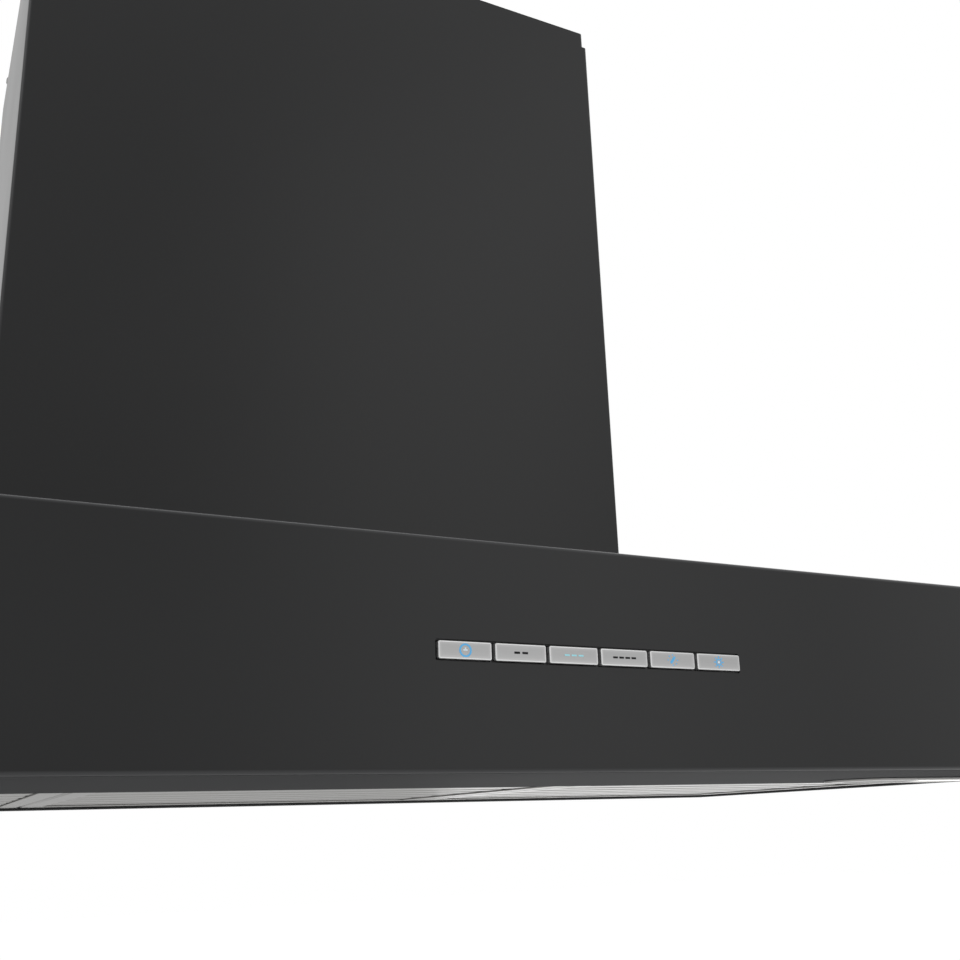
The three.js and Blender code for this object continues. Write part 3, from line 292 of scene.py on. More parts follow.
@finish
def black_enamel(g, user):
    """Satin-gloss enamel: a faint orange peel, a cloudy tone, and over the folds a glossier coat
    with a painted highlight, where its colour is painted lighter.
    """
    peel = g.noise(420, 1.0) * 0.75 + g.noise(1500, 1.0) * 0.25
    cloud = g.noise(5.5)
    specks = g.noise(2600, 0.0).above(0.79)
    # painted highlight: the folds' colour is painted lighter, towards a pale grey, and they are
    # made a little glossier
    fold_highlight_and_wear = g.rim() * 0.75
    tone = g.tint(cloud, shade(user.enamel, 0.85), shade(user.enamel, 1.2))
    highlighted_tone = g.tint(fold_highlight_and_wear, tone, (0.055, 0.056, 0.058))
    g.principled(
        Base_Color=g.tint(specks * 0.25, highlighted_tone, (0.05, 0.05, 0.052)),
        Roughness=0.30 + (cloud - 0.5) * 0.08 - fold_highlight_and_wear * 0.08,
        Specular_IOR_Level=0.25,
        Normal=g.bump(peel, 0.00006, 0.35),
    )


@finish
def underside_enamel(g, user):
    """The enamel of the lamp panel and the canopy's downward faces, duller and with a painted
    reflection: it hardly reflects, and its colour is painted lighter in place of the reflection.
    """
    peel = g.noise(420, 1.0)
    cloud = g.noise(7.0)
    g.principled(
        # painted reflection: the colour is 2 to 2.9 times the enamel's, in place of the reflection
        # that the near-zero specular leaves out
        Base_Color=g.tint(cloud, shade(user.enamel, 2.0), shade(user.enamel, 2.9)),
        Roughness=0.72 + (cloud - 0.5) * 0.1,
        Specular_IOR_Level=0.02,
        Normal=g.bump(peel, 0.00006, 0.3),
    )


def brushed(g, base, rough, depth):
    """Steel brushed from side to side: long fine scratches and broader bands.

    Its grooves shade each other, so it reflects less when seen almost edge-on.
    """
    scratch = g.noise((14.0, 2200.0, 2200.0), 3.0, 0.62)
    band = g.noise((3.0, 240.0, 240.0))
    tone = (scratch * 0.6 + band * 0.4).clamped()
    g.principled(
        Base_Color=g.tint(tone, shade(base, 0.80), shade(base, 1.16)),
        Metallic=1.0,
        Specular_Tint=(0.5, 0.5, 0.5, 1.0),
        Roughness=rough + (scratch - 0.5) * 0.16 + (band - 0.5) * 0.08,
        Normal=g.bump(scratch, depth, 0.5),
    )


@finish
def brushed_steel(g, user):
    """Stainless steel of the filters."""
    brushed(g, user.steel, 0.33, 0.00002)


@finish
def pressed_steel(g, user):
    """Small stainless parts, with a finer and duller grain."""
    brushed(g, shade(user.steel, 0.92), 0.38, 0.00001)


@finish
def turned_steel(g, user):
    """Shaft and spindle steel, with fine turning marks round the axis."""
    rings = g.noise((1800.0, 20.0, 20.0))
    g.principled(
        Base_Color=g.tint(rings, shade(user.steel, 0.8), shade(user.steel, 1.1)),
        Metallic=1.0,
        Roughness=0.24 + rings * 0.12,
        Normal=g.bump(rings, 0.00001, 0.5),
    )


@finish
def key_metal(g, user):
    """Satin metal with a fine side-to-side grain, smoother along its rounded rim, where its colour
    is also painted much lighter as a highlight.

    A face is painted a little lighter over its lower half, as painted light from below.
    """
    low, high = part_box("key_1")
    grain = g.noise((60.0, 3000.0, 3000.0), 2.0, 0.6)
    speck = g.noise(5200, 1.0)
    rim = g.rim()
    # painted light: the lower half of the face is made lighter, as if lit from below
    lower = ((g.axis("Z") - (low.z + high.z) / 2) * -170.0).clamped()
    tone = (grain * 0.7 + speck * 0.3).clamped()
    face = g.tint(tone, shade(user.key, 0.90), shade(user.key, 1.10))
    lit = g.tint(lower * 0.4, face, shade(user.key, 1.45))
    g.principled(
        # painted highlight: the rounded rim's colour is lifted towards 2.3 times the key metal's
        Base_Color=g.tint(rim * 0.85, lit, shade(user.key, 2.3)),
        Metallic=0.85,
        Roughness=0.42 + (grain - 0.5) * 0.12 - rim * 0.14,
        Normal=g.bump(grain, 0.00001, 0.4),
    )


@finish
def zinc_plate(g, user):
    """Zinc-plated sheet: large soft spangles with a grain inside each, and a few dull stains."""
    tone = g.red(g.node("TexVoronoi", {"Vector": g.place, "Scale": 85.0}, "Color"))
    grain = g.noise(900)
    stops = [(0.50, (0, 0, 0)), (0.72, (1, 1, 1))]
    stain = g.node("ValToRGB", [g.noise(13, 3.0)], stops=stops)
    level = (tone * 0.65 + grain * 0.35).clamped()
    sheet = g.tint(level, shade(user.zinc, 0.82), shade(user.zinc, 1.22))
    dull = g.red(stain)
    g.principled(
        Base_Color=g.tint(dull * 0.35, sheet, (0.30, 0.31, 0.31)),
        Metallic=0.82,
        Roughness=0.40 + tone * 0.14 + dull * 0.1,
        Normal=g.bump(grain, 0.00002, 0.4),
    )


def moulded(g, base, rough):
    """Moulded plastic: a fine spark texture over a faint flow pattern."""
    spark = g.noise(2400)
    flow = g.noise((6.0, 14.0, 14.0))
    g.principled(
        Base_Color=g.tint(flow, shade(base, 0.85), shade(base, 1.25)),
        Roughness=rough + (spark - 0.5) * 0.14,
        Normal=g.bump(spark, 0.00004, 0.5),
    )


@finish
def dark_plastic(g, user):
    """Black moulded plastic."""
    moulded(g, user.dark_plastic, 0.52)


@finish
def grey_plastic(g, user):
    """Grey glass-filled plastic."""
    moulded(g, user.grey_plastic, 0.56)


@finish
def cable_jacket(g, user):
    """Black cable jacket with a slight sheen."""
    moulded(g, shade(user.dark_plastic, 0.9), 0.44)


@finish
def silicone(g, user):
    """Translucent grey silicone of the dome mat."""
    moulded(g, (0.30, 0.31, 0.32), 0.48)


@finish
def circuit_board(g, user):
    """Green solder mask over copper tracks, with bare pads."""
    bricks = {
        "Vector": g.stretched((330.0, 330.0, 330.0)), "Scale": 1.0, "Color1": (1, 1, 1, 1),
        "Color2": (0.8, 0.8, 0.8, 1), "Mortar": (0, 0, 0, 1), "Mortar Size": 0.09,
    }
    track = g.red(g.node("TexBrick", bricks, offset=0.37))
    pads = g.node("TexVoronoi", {"Vector": g.place, "Scale": 210.0}, "Distance")
    pad = 1.0 - pads.above(0.20)
    mask = g.tint(track, (0.008, 0.06, 0.028), (0.014, 0.11, 0.045))
    g.principled(
        Base_Color=g.tint(pad * 0.9, mask, (0.62, 0.60, 0.55)),
        Metallic=pad * 0.8,
        Roughness=0.34 + track * 0.1,
        Normal=g.bump(track, 0.00003, 0.5),
    )


@finish
def frosted_lens(g, user):
    """Frosted diffuser: bright in a disc over its light source, at the outer end, else grey."""
    low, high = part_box("lamp_lens_right")
    reach = (high.x - low.x) / 4
    disc = reach + 2 * MM
    edge = 4000.0  # over a radius of about 31 mm, this fades the disc's edge within 4 mm
    frost = g.noise(1900)
    across = g.axis("X").size() - (high.x - reach)
    back = g.axis("Y") - (low.y + high.y) / 2
    glow = ((disc**2 - across * across - back * back) * edge).clamped()
    off = g.tint(frost, (0.17, 0.17, 0.17), (0.24, 0.24, 0.24))
    lit = g.tint(frost, (0.60, 0.60, 0.585), (0.72, 0.72, 0.70))
    g.principled(
        Base_Color=g.tint(glow, off, lit),
        Roughness=0.46 + frost * 0.1,
        Specular_IOR_Level=0.1,
        Emission_Color=g.tint(glow, (0.012, 0.012, 0.012), (1.0, 0.985, 0.955)),
        Emission_Strength=1.15,
        Normal=g.bump(frost, 0.00003, 0.5),
    )


def mark(g, base, glow):
    """A mark on a key: a fine print grain, with its own light where it is lit."""
    grain = g.noise(4200, 1.0)
    tone = g.tint(grain, shade(base, 0.82), shade(base, 1.15))
    g.principled(
        Base_Color=tone, Roughness=0.4 + grain * 0.1, Specular_IOR_Level=0.1,
        Emission_Color=tone, Emission_Strength=glow,
    )


@finish
def mark_ink(g, user):
    """Dark print of the speeds that are off."""
    mark(g, user.ink, 0.0)


@finish
def mark_blue(g, user):
    """Blue lit mark."""
    mark(g, user.lit_blue, 0.25)


@finish
def mark_cyan(g, user):
    """Pale lit mark of the speed that is on."""
    mark(g, user.lit_cyan, 0.25)


@finish
def mark_white(g, user):
    """Whitish centre of a lit mark."""
    mark(g, user.lit_white, 0.2)


@finish
def floor_paint(g, user):
    """Plain pale floor that the camera and reflections see as white, and that keeps shadows."""
    seen = g.shown()
    paint = g.node("BsdfDiffuse", {"Color": (0.78, 0.78, 0.78, 1.0)})
    light = g.node("Emission", {"Color": (1, 1, 1, 1), "Strength": 0.42})
    lifted = g.node("AddShader", [paint, light])
    mixed = g.node("MixShader", [seen, paint, lifted])
    g.node("OutputMaterial", [mixed])


# ------------------------ surfaces
def add_object(name, data):
    """A new object in the scene's own collection."""
    made = bpy.data.objects.new(name, data)
    bpy.context.scene.collection.objects.link(made)
    return made


class Skin:
    """Quads and flat faces gathered into one closed mesh."""

    def __init__(self):
        self.points = []
        self.faces = []
        self.count = 0
        self.rims = []

    def _add(self, points, rim):
        start = self.count
        self.points.append(points.reshape(-1, 3))
        self.rims.append(np.broadcast_to(rim, points.shape[:-1]).ravel())
        self.count += len(self.points[-1])
        return start

    def grid(self, points, wrap_u=False, wrap_v=False, keep=None, rim=0.0):
        """Quads between neighbours of a grid of points, closed along either parameter if asked."""
        rows, columns = points.shape[:2]
        index = self._add(points, rim) + np.arange(rows * columns).reshape(rows, columns)
        if wrap_u:
            index = np.vstack([index, index[:1]])
        if wrap_v:
            index = np.hstack([index, index[:, :1]])
        quads = np.stack(
            [index[:-1, :-1], index[1:, :-1], index[1:, 1:], index[:-1, 1:]], axis=-1
        )
        chosen = quads.reshape(-1, 4) if keep is None else quads[keep]
        self.faces += chosen.tolist()
        return self

    def flat(self, points):
        """One flat face through the points, in order."""
        start = self._add(points, 0.0)
        self.faces.append(list(range(start, self.count)))
        return self

    def closed(self, points, rim=0.0):
        """A grid that closes round its first parameter, with flat ends."""
        self.grid(points, wrap_u=True, rim=rim)
        return self.flat(points[:, 0]).flat(points[::-1, -1])

    def object(self, name, material, sharp=34.0):
        """The mesh as an object: merged, facing outwards, and smooth but for its sharp edges."""
        mesh = bpy.data.meshes.new(name)
        mesh.from_pydata(np.concatenate(self.points), [], self.faces)
        attribute = mesh.attributes.new("rim", "FLOAT", "POINT")
        attribute.data.foreach_set("value", np.concatenate(self.rims).astype(np.float32))
        work = bmesh.new()
        work.from_mesh(mesh)
        bmesh.ops.remove_doubles(work, verts=work.verts, dist=2e-7)
        bmesh.ops.dissolve_degenerate(work, edges=work.edges, dist=1e-7)
        bmesh.ops.recalc_face_normals(work, faces=work.faces)
        work.to_mesh(mesh)
        work.free()
        mesh.polygons.foreach_set("use_smooth", np.ones(len(mesh.polygons), bool))
        mesh.set_sharp_from_angle(angle=math.radians(sharp))
        mesh.materials.append(material)
        return add_object(name, mesh)


def dull_below(piece, level, material):
    """Gives the faces that look down from below a level their own finish."""
    mesh = piece.data
    mesh.materials.append(material)
    normals, centres = np.empty((2, len(mesh.polygons) * 3))
    mesh.polygons.foreach_get("normal", normals)
    mesh.polygons.foreach_get("center", centres)
    below = (normals[2::3] < -0.95) & (centres[2::3] < level)
    mesh.polygons.foreach_set("material_index", below.astype(np.int32))


def face_middle(low, high, axis):
    """Middle of a box as seen along an axis, as the two other coordinates."""
    return np.delete((low + high) / 2, axis)


def settle(piece, body, slot, *nodes):
    """Puts a piece on its body and hides the plain solids it stands for; its slot is not used."""
    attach(piece, body)
    if nodes:
        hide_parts(*nodes)


def circle(angles):
    """Points of the unit circle at some angles."""
    return np.stack([np.cos(angles), np.sin(angles)], axis=-1)


def quarter(steps):
    """Angles over a quarter turn."""
    return np.linspace(0, math.pi / 2, steps + 1)


def rounded_outline(half_u, half_v, radius, steps):
    """Closed outline of a rectangle with quarter-circle corners, counter-clockwise."""
    centres = np.array([(1, 1), (-1, 1), (-1, -1), (1, -1)]) * (half_u - radius, half_v - radius)
    corners = radius * circle(QUARTERS[:, None] + quarter(steps))
    return (centres[:, None] + corners).reshape(-1, 2)


def stadium_outline(reach, radius, steps):
    """Closed outline of two half circles of one radius, each centred a reach from the middle."""
    half = radius * circle(np.linspace(-math.pi / 2, math.pi / 2, steps + 1)) + (reach, 0)
    return np.concatenate([half, -half])


def folded_section(corners, bend, thickness, steps=FOLD_STEPS, hold=HOLD):
    """Closed section of a folded sheet.

    The face follows the corners. At each corner it turns on an arc of the bend radius, whose
    centre lies on the corner's bisector at bend / cos(turn / 2); the back is the face moved by the
    thickness along the arc's radius. A short flat next to each arc keeps the flat faces flat.
    """
    corners = np.asarray(corners, float)
    ahead = np.diff(corners, axis=0)
    ahead /= np.linalg.norm(ahead, axis=1)[:, None]
    before, after = ahead[:-1], ahead[1:]
    turn = np.arctan2(
        before[:, 0] * after[:, 1] - before[:, 1] * after[:, 0], (before * after).sum(axis=1)
    )
    side = np.sign(turn)[:, None]
    middle = np.arctan2(before[:, 1], before[:, 0]) + turn / 2 + math.pi / 2
    centre = corners[1:-1] + side * bend * circle(middle) / np.cos(turn / 2)[:, None]
    lean = circle(middle[:, None] + turn[:, None] * np.linspace(-0.5, 0.5, steps + 1))
    face = centre[:, None] - side[:, None] * bend * lean
    first, last = np.stack([-ahead[:, 1], ahead[:, 0]], axis=1)[[0, -1]]
    lines = []
    for depth in (0.0, thickness):
        arcs = face + depth * lean
        into = arcs[:, :1] - before[:, None] * hold
        out = arcs[:, -1:] + after[:, None] * hold
        folds = np.concatenate([into, arcs, out], axis=1).reshape(-1, 2)
        lines.append(np.vstack([corners[0] + first * depth, folds, corners[-1] + last * depth]))
    return np.vstack([lines[0], lines[1][::-1]])


def carried(section, levels, axis):
    """A section carried straight from level to level along an axis; its own are the other two."""
    return np.stack([np.insert(section, axis, level, axis=1) for level in levels], axis=1)


def add_prism(skin, section, low, high, axis, rim=0.0):
    """Adds a closed section carried along an axis, with flat ends."""
    rim = np.broadcast_to(rim, len(section))[:, None]
    return skin.closed(carried(section, (low, high), axis), rim)


def bell(steps=FOLD_STEPS):
    """Wear and painted highlight across a fold: a half sine."""
    return np.sin(np.linspace(0, math.pi, steps + 1))


def section_wear_and_highlight(bends, steps=FOLD_STEPS):
    """Wear and painted highlight round a folded section: over each bend of its face, and nothing
    elsewhere.
    """
    face = np.concatenate([[0], np.tile([0, *bell(steps), 0], bends), [0]])
    return np.concatenate([face, np.zeros_like(face)])


# ------------------------ canopy and chimney
def canopy_level(inset, height, fold, stops, box):
    """The canopy's skin on a grid: round its plan by its profile from bottom rim to top.

    At inset s the plan is the canopy's outline moved in by s: straight sides, and corners that are
    arcs of radius (fold - s) round a point (fold) in from both faces, or a mitre once s passes the
    fold. The stops are places along the front where the skin's grid has a line.
    """
    (left, front, _), (right, rear, _) = box
    reach = np.maximum(fold, inset)
    radius = np.maximum(fold - inset, 0.0)
    sweep = quarter(FOLD_STEPS)[:, None]
    x = np.vstack([left + inset, left + inset, left + reach - radius * np.cos(sweep),
                   left + reach + HOLD])
    y = np.vstack([np.full_like(inset, rear), front + reach + HOLD,
                   front + reach - radius * np.sin(sweep), front + inset])
    left_end = np.stack([x, y], axis=-1)
    right_end = left_end[::-1] * (-1, 1) + (left + right, 0)
    between = np.stack(np.broadcast_arrays(stops[:, None], front + inset), axis=-1)
    return np.insert(np.concatenate([left_end, between, right_end]), Z, height, axis=2)


def canopy_profile(fold, rim, bottom, top, rows, depth):
    """Inset and height along the canopy's wall, at a depth inside its outer face.

    The bottom rim runs in, the wall runs up, and both meet the folds on arcs of radius
    (fold - depth) that share their centres with the outer face's arcs.
    """
    sweep = quarter(FOLD_STEPS)
    radius = fold - depth
    low_s = fold - radius * np.sin(sweep)
    low_z = bottom + fold - radius * np.cos(sweep)
    inset = [[rim, fold + HOLD], low_s, [depth] * (len(rows) + 2), low_s[::-1], [fold + HOLD]]
    height = [
        [bottom + depth] * 2, low_z, [bottom + fold + HOLD, *rows, top - fold - HOLD],
        top + bottom - low_z[::-1], [top - depth],
    ]
    return np.concatenate(inset), np.concatenate(height)


def hole_in_sheet(skin, outline, cells, levels, axis):
    """A hole through a flat sheet: its wall, and four flat faces round it at each of two levels.

    The outline has equal runs of points on its four corners, starting at the high-u, high-v one,
    and the corners of each level's cell, which the hole takes the place of, come in that order.
    """
    run = len(outline) // 4
    for corners, level in zip(cells, levels):
        for side in range(4):
            start = side * run + run // 2
            index = np.arange(start, start + run + 1) % len(outline)
            loop = np.concatenate([corners[[side, (side + 1) % 4]], outline[index][::-1]])
            skin.flat(np.insert(loop, axis, level, axis=1))
    return skin.grid(carried(outline, levels, axis), wrap_u=True)


def key_slot(sizes):
    """The slot's rounded outline in the canopy's front, and its cell's two opposite corners."""
    low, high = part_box(KEYS[0])[0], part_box(KEYS[-1])[1]
    middle = face_middle(low, high, Y)
    half = np.array([(high.x - low.x) / 2, sizes.key_height / 2]) + sizes.key_gap
    cell = half + (10 * MM, 8 * MM)
    return rounded_outline(*half, 1.2 * MM, 5) + middle, middle - cell, middle + cell


def intake_opening(skin, top_lines, levels):
    """The canopy's top round the blower's intake, on both faces of the sheet.

    A face is four flat pieces between the opening and the top's line round the plan, which is
    split at the middles of its front corners. The opening and the rear edge get their walls.
    """
    low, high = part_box("intake_grille")
    border = 6 * MM
    left, right, front, rear = low.x + border, high.x - border, low.y + border, high.y - border
    corners = [(left, rear), (left, front), (right, front), (right, rear)]
    opening = carried(corners, levels, Z)
    corner_middle = 2 + FOLD_STEPS // 2
    for line, corner in zip(top_lines, opening.swapaxes(0, 1)):
        end = len(line) - 1
        split = [0, corner_middle, end - corner_middle, end]
        for k in range(3):
            skin.flat(np.concatenate([line[split[k]: split[k + 1] + 1], corner[[k + 1, k]]]))
        skin.flat(np.stack([line[0], corner[0], corner[3], line[-1]]))
    skin.grid(opening, wrap_u=True)
    skin.grid(np.stack([line[[0, -1]] for line in top_lines], axis=1))


def canopy_skin(sizes):
    """The folded canopy: outer and inner faces, the key slot, the intake opening and the rims."""
    low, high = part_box("canopy_shell")
    sheet, rim = sizes.sheet, sizes.rim
    slot, cell_low, cell_high = key_slot(sizes)
    stops, rows = np.stack([cell_low, cell_high], axis=1)
    # how much of the enamel's painted fold highlight each profile step gets
    wear_and_highlight = [0, 0, *bell(), *np.zeros(len(rows) + 2), *bell(), 0]
    skin = Skin()
    faces = []
    for depth in (0.0, sheet):
        inset, height = canopy_profile(sizes.fold, rim, low.z, high.z, rows, depth)
        points = canopy_level(inset, height, sizes.fold, stops, (low, high))
        level = np.flatnonzero(np.isclose(height, rows[0]))[0]
        first = np.flatnonzero(np.isclose(points[:, level, 0], stops[0]))[0]
        keep = np.ones((points.shape[0] - 1, points.shape[1] - 1), bool)
        keep[first, level] = False  # the key slot's cell
        skin.grid(points, keep=keep, rim=wear_and_highlight)
        faces.append(points)
    outer, inner = faces
    for edge in (np.s_[:, 0], np.s_[0], np.s_[-1]):
        skin.grid(np.stack([outer[edge], inner[edge]], axis=1))
    cell = np.array([(stops[i], rows[j]) for i, j in ((1, 1), (0, 1), (0, 0), (1, 0))])
    hole_in_sheet(skin, slot, [cell, cell], [low.y, low.y + sheet], Y)
    intake_opening(skin, [outer[:, -1], inner[:, -1]], [high.z, high.z - sheet])
    inner_edge = high.y - sizes.rear_rim
    strip = np.array([(inner_edge, low.z), (high.y, low.z), (high.y, low.z + sheet),
                      (inner_edge, low.z + sheet)])
    return add_prism(skin, strip, low.x + rim + CLEAR, high.x - rim - CLEAR, X)


def chimney_skin(node, sizes):
    """One chimney section: a folded channel, open to the wall, carried upwards."""
    low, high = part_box(node)
    half, back, front = high.x, high.y, low.y
    fold_in = half - sizes.chimney_return
    corners = [(fold_in, back), (half, back), (half, front), (-half, front), (-half, back),
               (-fold_in, back)]
    section = folded_section(corners, sizes.fold, -sizes.sheet)
    # the folds get the enamel's painted highlight
    return add_prism(Skin(), section, low.z, high.z, Z, section_wear_and_highlight(len(corners) - 2))


# ------------------------ keys
def key_cap(node, sizes):
    """A key: its rounded outline drawn in along a profile from the face's middle over the rim.

    Each profile step has an inset and a depth. The face is dished by 0.05 mm towards its middle,
    and its rim is a quarter circle.
    """
    low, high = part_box(node)
    half_u, half_v = (high.x - low.x) / 2, sizes.key_height / 2
    edge = sizes.key_edge
    shelf = 0.3 * MM  # flat strip on either side of the rounded rim
    foot = high.y - 1.5 * MM  # front of the flange that the housing guides
    face = low.y + KEY_SET_BACK
    dish = np.array([(3.9, 0.05), (3.0, 0.045), (2.0, 0.03)]) * MM
    round_rim = (edge, face + edge) - edge * circle(quarter(5))[:, ::-1]
    inset, depth = np.vstack([dish + (0, face), (edge + shelf, face), round_rim,
                              (0.0, face + edge + shelf), (0.0, foot)]).T
    # how far each profile step lies on the rim, which key_metal makes smoother and paints lighter
    # as a highlight
    wear_and_highlight = [0, 0, 0, 0.1, *np.linspace(0.7, 1.0, len(round_rim)), 1.0, 0.8]
    rings = np.stack([
        rounded_outline(half_u - step, half_v - step, max(sizes.key_corner - step, 0.0), 6)
        for step in inset
    ], axis=1)
    skin = Skin().closed(np.insert(rings + face_middle(low, high, Y), Y, depth, axis=2), wear_and_highlight)
    flange = np.array([(low.x, low.z), (high.x, low.z), (high.x, high.z), (low.x, high.z)])
    return add_prism(skin, flange, foot, high.y, Y)


def stroke(path, width):
    """Closed outline of a line of even width: the path moved half the width to each side."""
    path = np.asarray(path, float)
    ahead = np.gradient(path, axis=0)
    ahead /= np.linalg.norm(ahead, axis=1)[:, None]
    side = np.stack([-ahead[:, 1], ahead[:, 0]], axis=1) * width / 2
    return np.concatenate([path + side, (path - side)[::-1]])


def dash(u, v, length_, width):
    """A short straight line with square ends."""
    return stroke([(u - length_ / 2, v), (u, v), (u + length_ / 2, v)], width)


def dashes(count, pitch, length_, width):
    """A row of equal dashes about a key's middle."""
    return [dash((i - (count - 1) / 2) * pitch, 0, length_, width) for i in range(count)]


def ring_arcs(radius, width, cuts):
    """A ring in equal arcs, with a hair's gap between them so that each is a simple outline."""
    part = 2 * math.pi / cuts
    sweeps = [k * part + np.linspace(0, part * 0.99, 9) for k in range(cuts)]
    return [stroke(radius * circle(sweep), width) for sweep in sweeps]


def key_marks(sizes):
    """Outlines of the six keys' marks by finish, in millimetres; none is a letter or a sign."""
    w = sizes.mark_width / MM
    compass = circle(np.arange(8) * math.pi / 4)
    drop = [
        stroke([(-1.3, -1.6), (0.1, 0.1), (1.3, 1.7)], 3.2 * w),
        *[dash(*dot, 0.7, 0.6) for dot in compass[[0, 2, 3, 4, 6, 7]] * (2.9, 2.6)],
    ]
    rays = [stroke(np.outer((2.1, 2.6, 3.1), ray), 1.5 * w) for ray in compass]
    return [
        {mark_blue: ring_arcs(2.75, 2.1 * w, 4),
         mark_white: [dash(0, 0.15, 2.2, 0.6), dash(0, 0.95, 0.9, 0.5)]},
        {mark_ink: dashes(2, 4.3, 3.0, 1.05)},
        {mark_cyan: dashes(3, 3.9, 2.8, 0.8)},
        {mark_ink: dashes(4, 3.6, 2.7, 0.95)},
        {mark_blue: drop},
        {mark_blue: ring_arcs(1.5, 1.6 * w, 3) + rays, mark_white: [dash(0, 0, 1.1, 1.1)]},
    ]


def mark_skin(outlines, node):
    """Thin print on a key: each outline carried back from a little before the face into it."""
    low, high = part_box(node)
    centre, front = face_middle(low, high, Y), low.y + MARK_SET_BACK
    skin = Skin()
    for outline in outlines:
        add_prism(skin, outline * MM + centre, front, front + MARK_DEPTH, Y)
    return skin


# ------------------------ filters
def filter_frame(low, high, sizes):
    """The filter's rim: its outline drawn in along a closed profile, mitred at the corners.

    The profile goes round the outer wall, under the lower lip, back inside it, up the wall's
    inside and over the upper lip. The lips reach further in along the front than elsewhere, and
    the lower one has the window of the latch's finger lip there.
    """
    fold, sheet = sizes.filter_fold, sizes.filter_sheet
    rear = high.y - sizes.tab_depth
    height = high.z - low.z
    steps = 4
    hem = 0.25 * MM
    end = 1.0  # stands for the lips' reach, which differs between the sides

    def turn(radius):
        """The lower fold at a radius, from a short flat on the lip up to the wall."""
        arc = fold - radius * circle(quarter(steps))[:, ::-1]
        return np.vstack([(fold + FILTER_HOLD, fold - radius), arc])

    turn_out, turn_in = turn(fold), turn(fold - sheet)
    over_out, over_in = [(0.0, height) + fold_line * (1, -1) for fold_line in (turn_out, turn_in)]
    inward, rise = np.vstack([
        (end, 0.0), turn_out, over_out[::-1], (end, height),
        (end + hem, height - hem), (end + hem, height - sheet + hem), (end, height - sheet),
        over_in, turn_in[::-1], (end, sheet), (end + hem, sheet - hem), (end + hem, hem),
    ]).T
    reach_side, reach_front = [np.where(inward < end, inward, lip + inward - end - hem)
                               for lip in (sizes.filter_lip, sizes.filter_front_lip)]
    corners = [
        (low.x + reach_side, low.y + reach_front), (high.x - reach_side, low.y + reach_front),
        (high.x - reach_side, rear - reach_side), (low.x + reach_side, rear - reach_side),
    ]
    points = np.stack([np.stack([x, y, low.z + rise], axis=-1) for x, y in corners])
    wear_and_highlight = np.zeros_like(rise)
    wear_and_highlight[2:2 * steps + 4] = [*bell(steps), *bell(steps)]
    under, over = 0, len(rise) - 4
    keep = np.ones(points.shape[:2], bool)
    keep[0, [under, over]] = False  # the window's cells in the front lip
    skin = Skin().grid(points, wrap_u=True, wrap_v=True, keep=keep, rim=wear_and_highlight)
    middle = ((low.x + high.x) / 2, low.y + 16 * MM)
    window = rounded_outline(32 * MM, 10 * MM, 3 * MM, 5) + middle
    bottom = points[[1, 0, 0, 1], [under, under, under + 1, under + 1], :2]
    inside = points[[1, 0, 0, 1], [over + 1, over + 1, over, over], :2]
    return hole_in_sheet(skin, window, [bottom, inside], [low.z, low.z + sheet], Z)


def baffles(skin, low, high, sizes):
    """Two rows of folded channels that interleave: the lower row opens up, the upper row down."""
    sheet = sizes.filter_sheet
    tuck = 2 * MM  # of the outer channels under the frame's lips
    start = low.y + sizes.filter_front_lip - tuck
    end = high.y - sizes.tab_depth - sizes.filter_lip + tuck
    width, rise, count, bend, steps = 27 * MM, 6 * MM, 7, 3.2 * MM, 5
    pitch = (end - start - width) / (count - 1)
    reach = (low.x + sizes.filter_lip / 2, high.x - sizes.filter_lip / 2)
    floor, roof = low.z + sheet + CLEAR, high.z - sheet - CLEAR
    wear_and_highlight = section_wear_and_highlight(2, steps) * 0.6
    channel = np.array([(0, rise), (0, 0), (width, 0), (width, rise)])
    upturned = (channel * (1, -1))[::-1]
    for i in range(2 * count - 1):
        row, level = (upturned, roof) if i % 2 else (channel, floor)
        corners = row + (start + i * pitch / 2, level)
        section = folded_section(corners, bend, sheet, steps, FILTER_HOLD)
        add_prism(skin, section, *reach, X, wear_and_highlight)


def rear_tabs(skin, low, high, sizes):
    """Two flat tabs behind the frame, half way from its middle to its ends, with round corners."""
    middle, apart, half = (low.x + high.x) / 2, (high.x - low.x) / 4, 12 * MM
    rooted = (sizes.tab_depth + 1 * MM) / 2  # half a tab's length, with its root in the frame
    plate = rounded_outline(half, rooted, 2 * MM, 4)
    for centre in (middle + apart + half, middle - apart - half):
        add_prism(skin, plate + (centre, high.y - rooted), low.z, low.z + sizes.sheet, Z)


# ------------------------ lamps
def ring_of_profile(centre, reach, profile, steps=14):
    """A stadium's outline drawn out along a closed profile of (radius, height)."""
    radii, heights = profile.T
    rings = np.stack([stadium_outline(reach, radius, steps) for radius in radii], axis=1)
    return np.insert(rings + centre, Z, heights, axis=2)


def stadium_of(node):
    """A lamp piece's box, centre, reach to its half circles' centres and radius."""
    low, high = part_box(node)
    radius = (high.y - low.y) / 2
    return low, high, face_middle(low, high, Z), (high.x - low.x) / 2 - radius, radius


def lamp_bezel(node, sizes):
    """The bezel: a flange with rounded rims round a neck, as a closed ring."""
    low, high, centre, reach, radius = stadium_of(node)
    bore, edge, lip = 14 * MM, sizes.bezel_edge, 0.8 * MM
    neck = bore + 6 * MM
    face, top = low.z, high.z
    back = face + sizes.sheet
    inner_rim = (bore + lip, face + lip) + lip * circle(quarter(4) - math.pi)
    outer_rim = (radius - edge, face + edge) + edge * circle(quarter(4) - math.pi / 2)
    profile = np.vstack([
        inner_rim, (bore + lip + HOLD, face), (radius - edge - 0.3 * MM, face), outer_rim,
        (radius, back), (neck, back), (neck, top), (bore, top),
    ])
    return Skin().grid(ring_of_profile(centre, reach, profile), wrap_u=True, wrap_v=True)


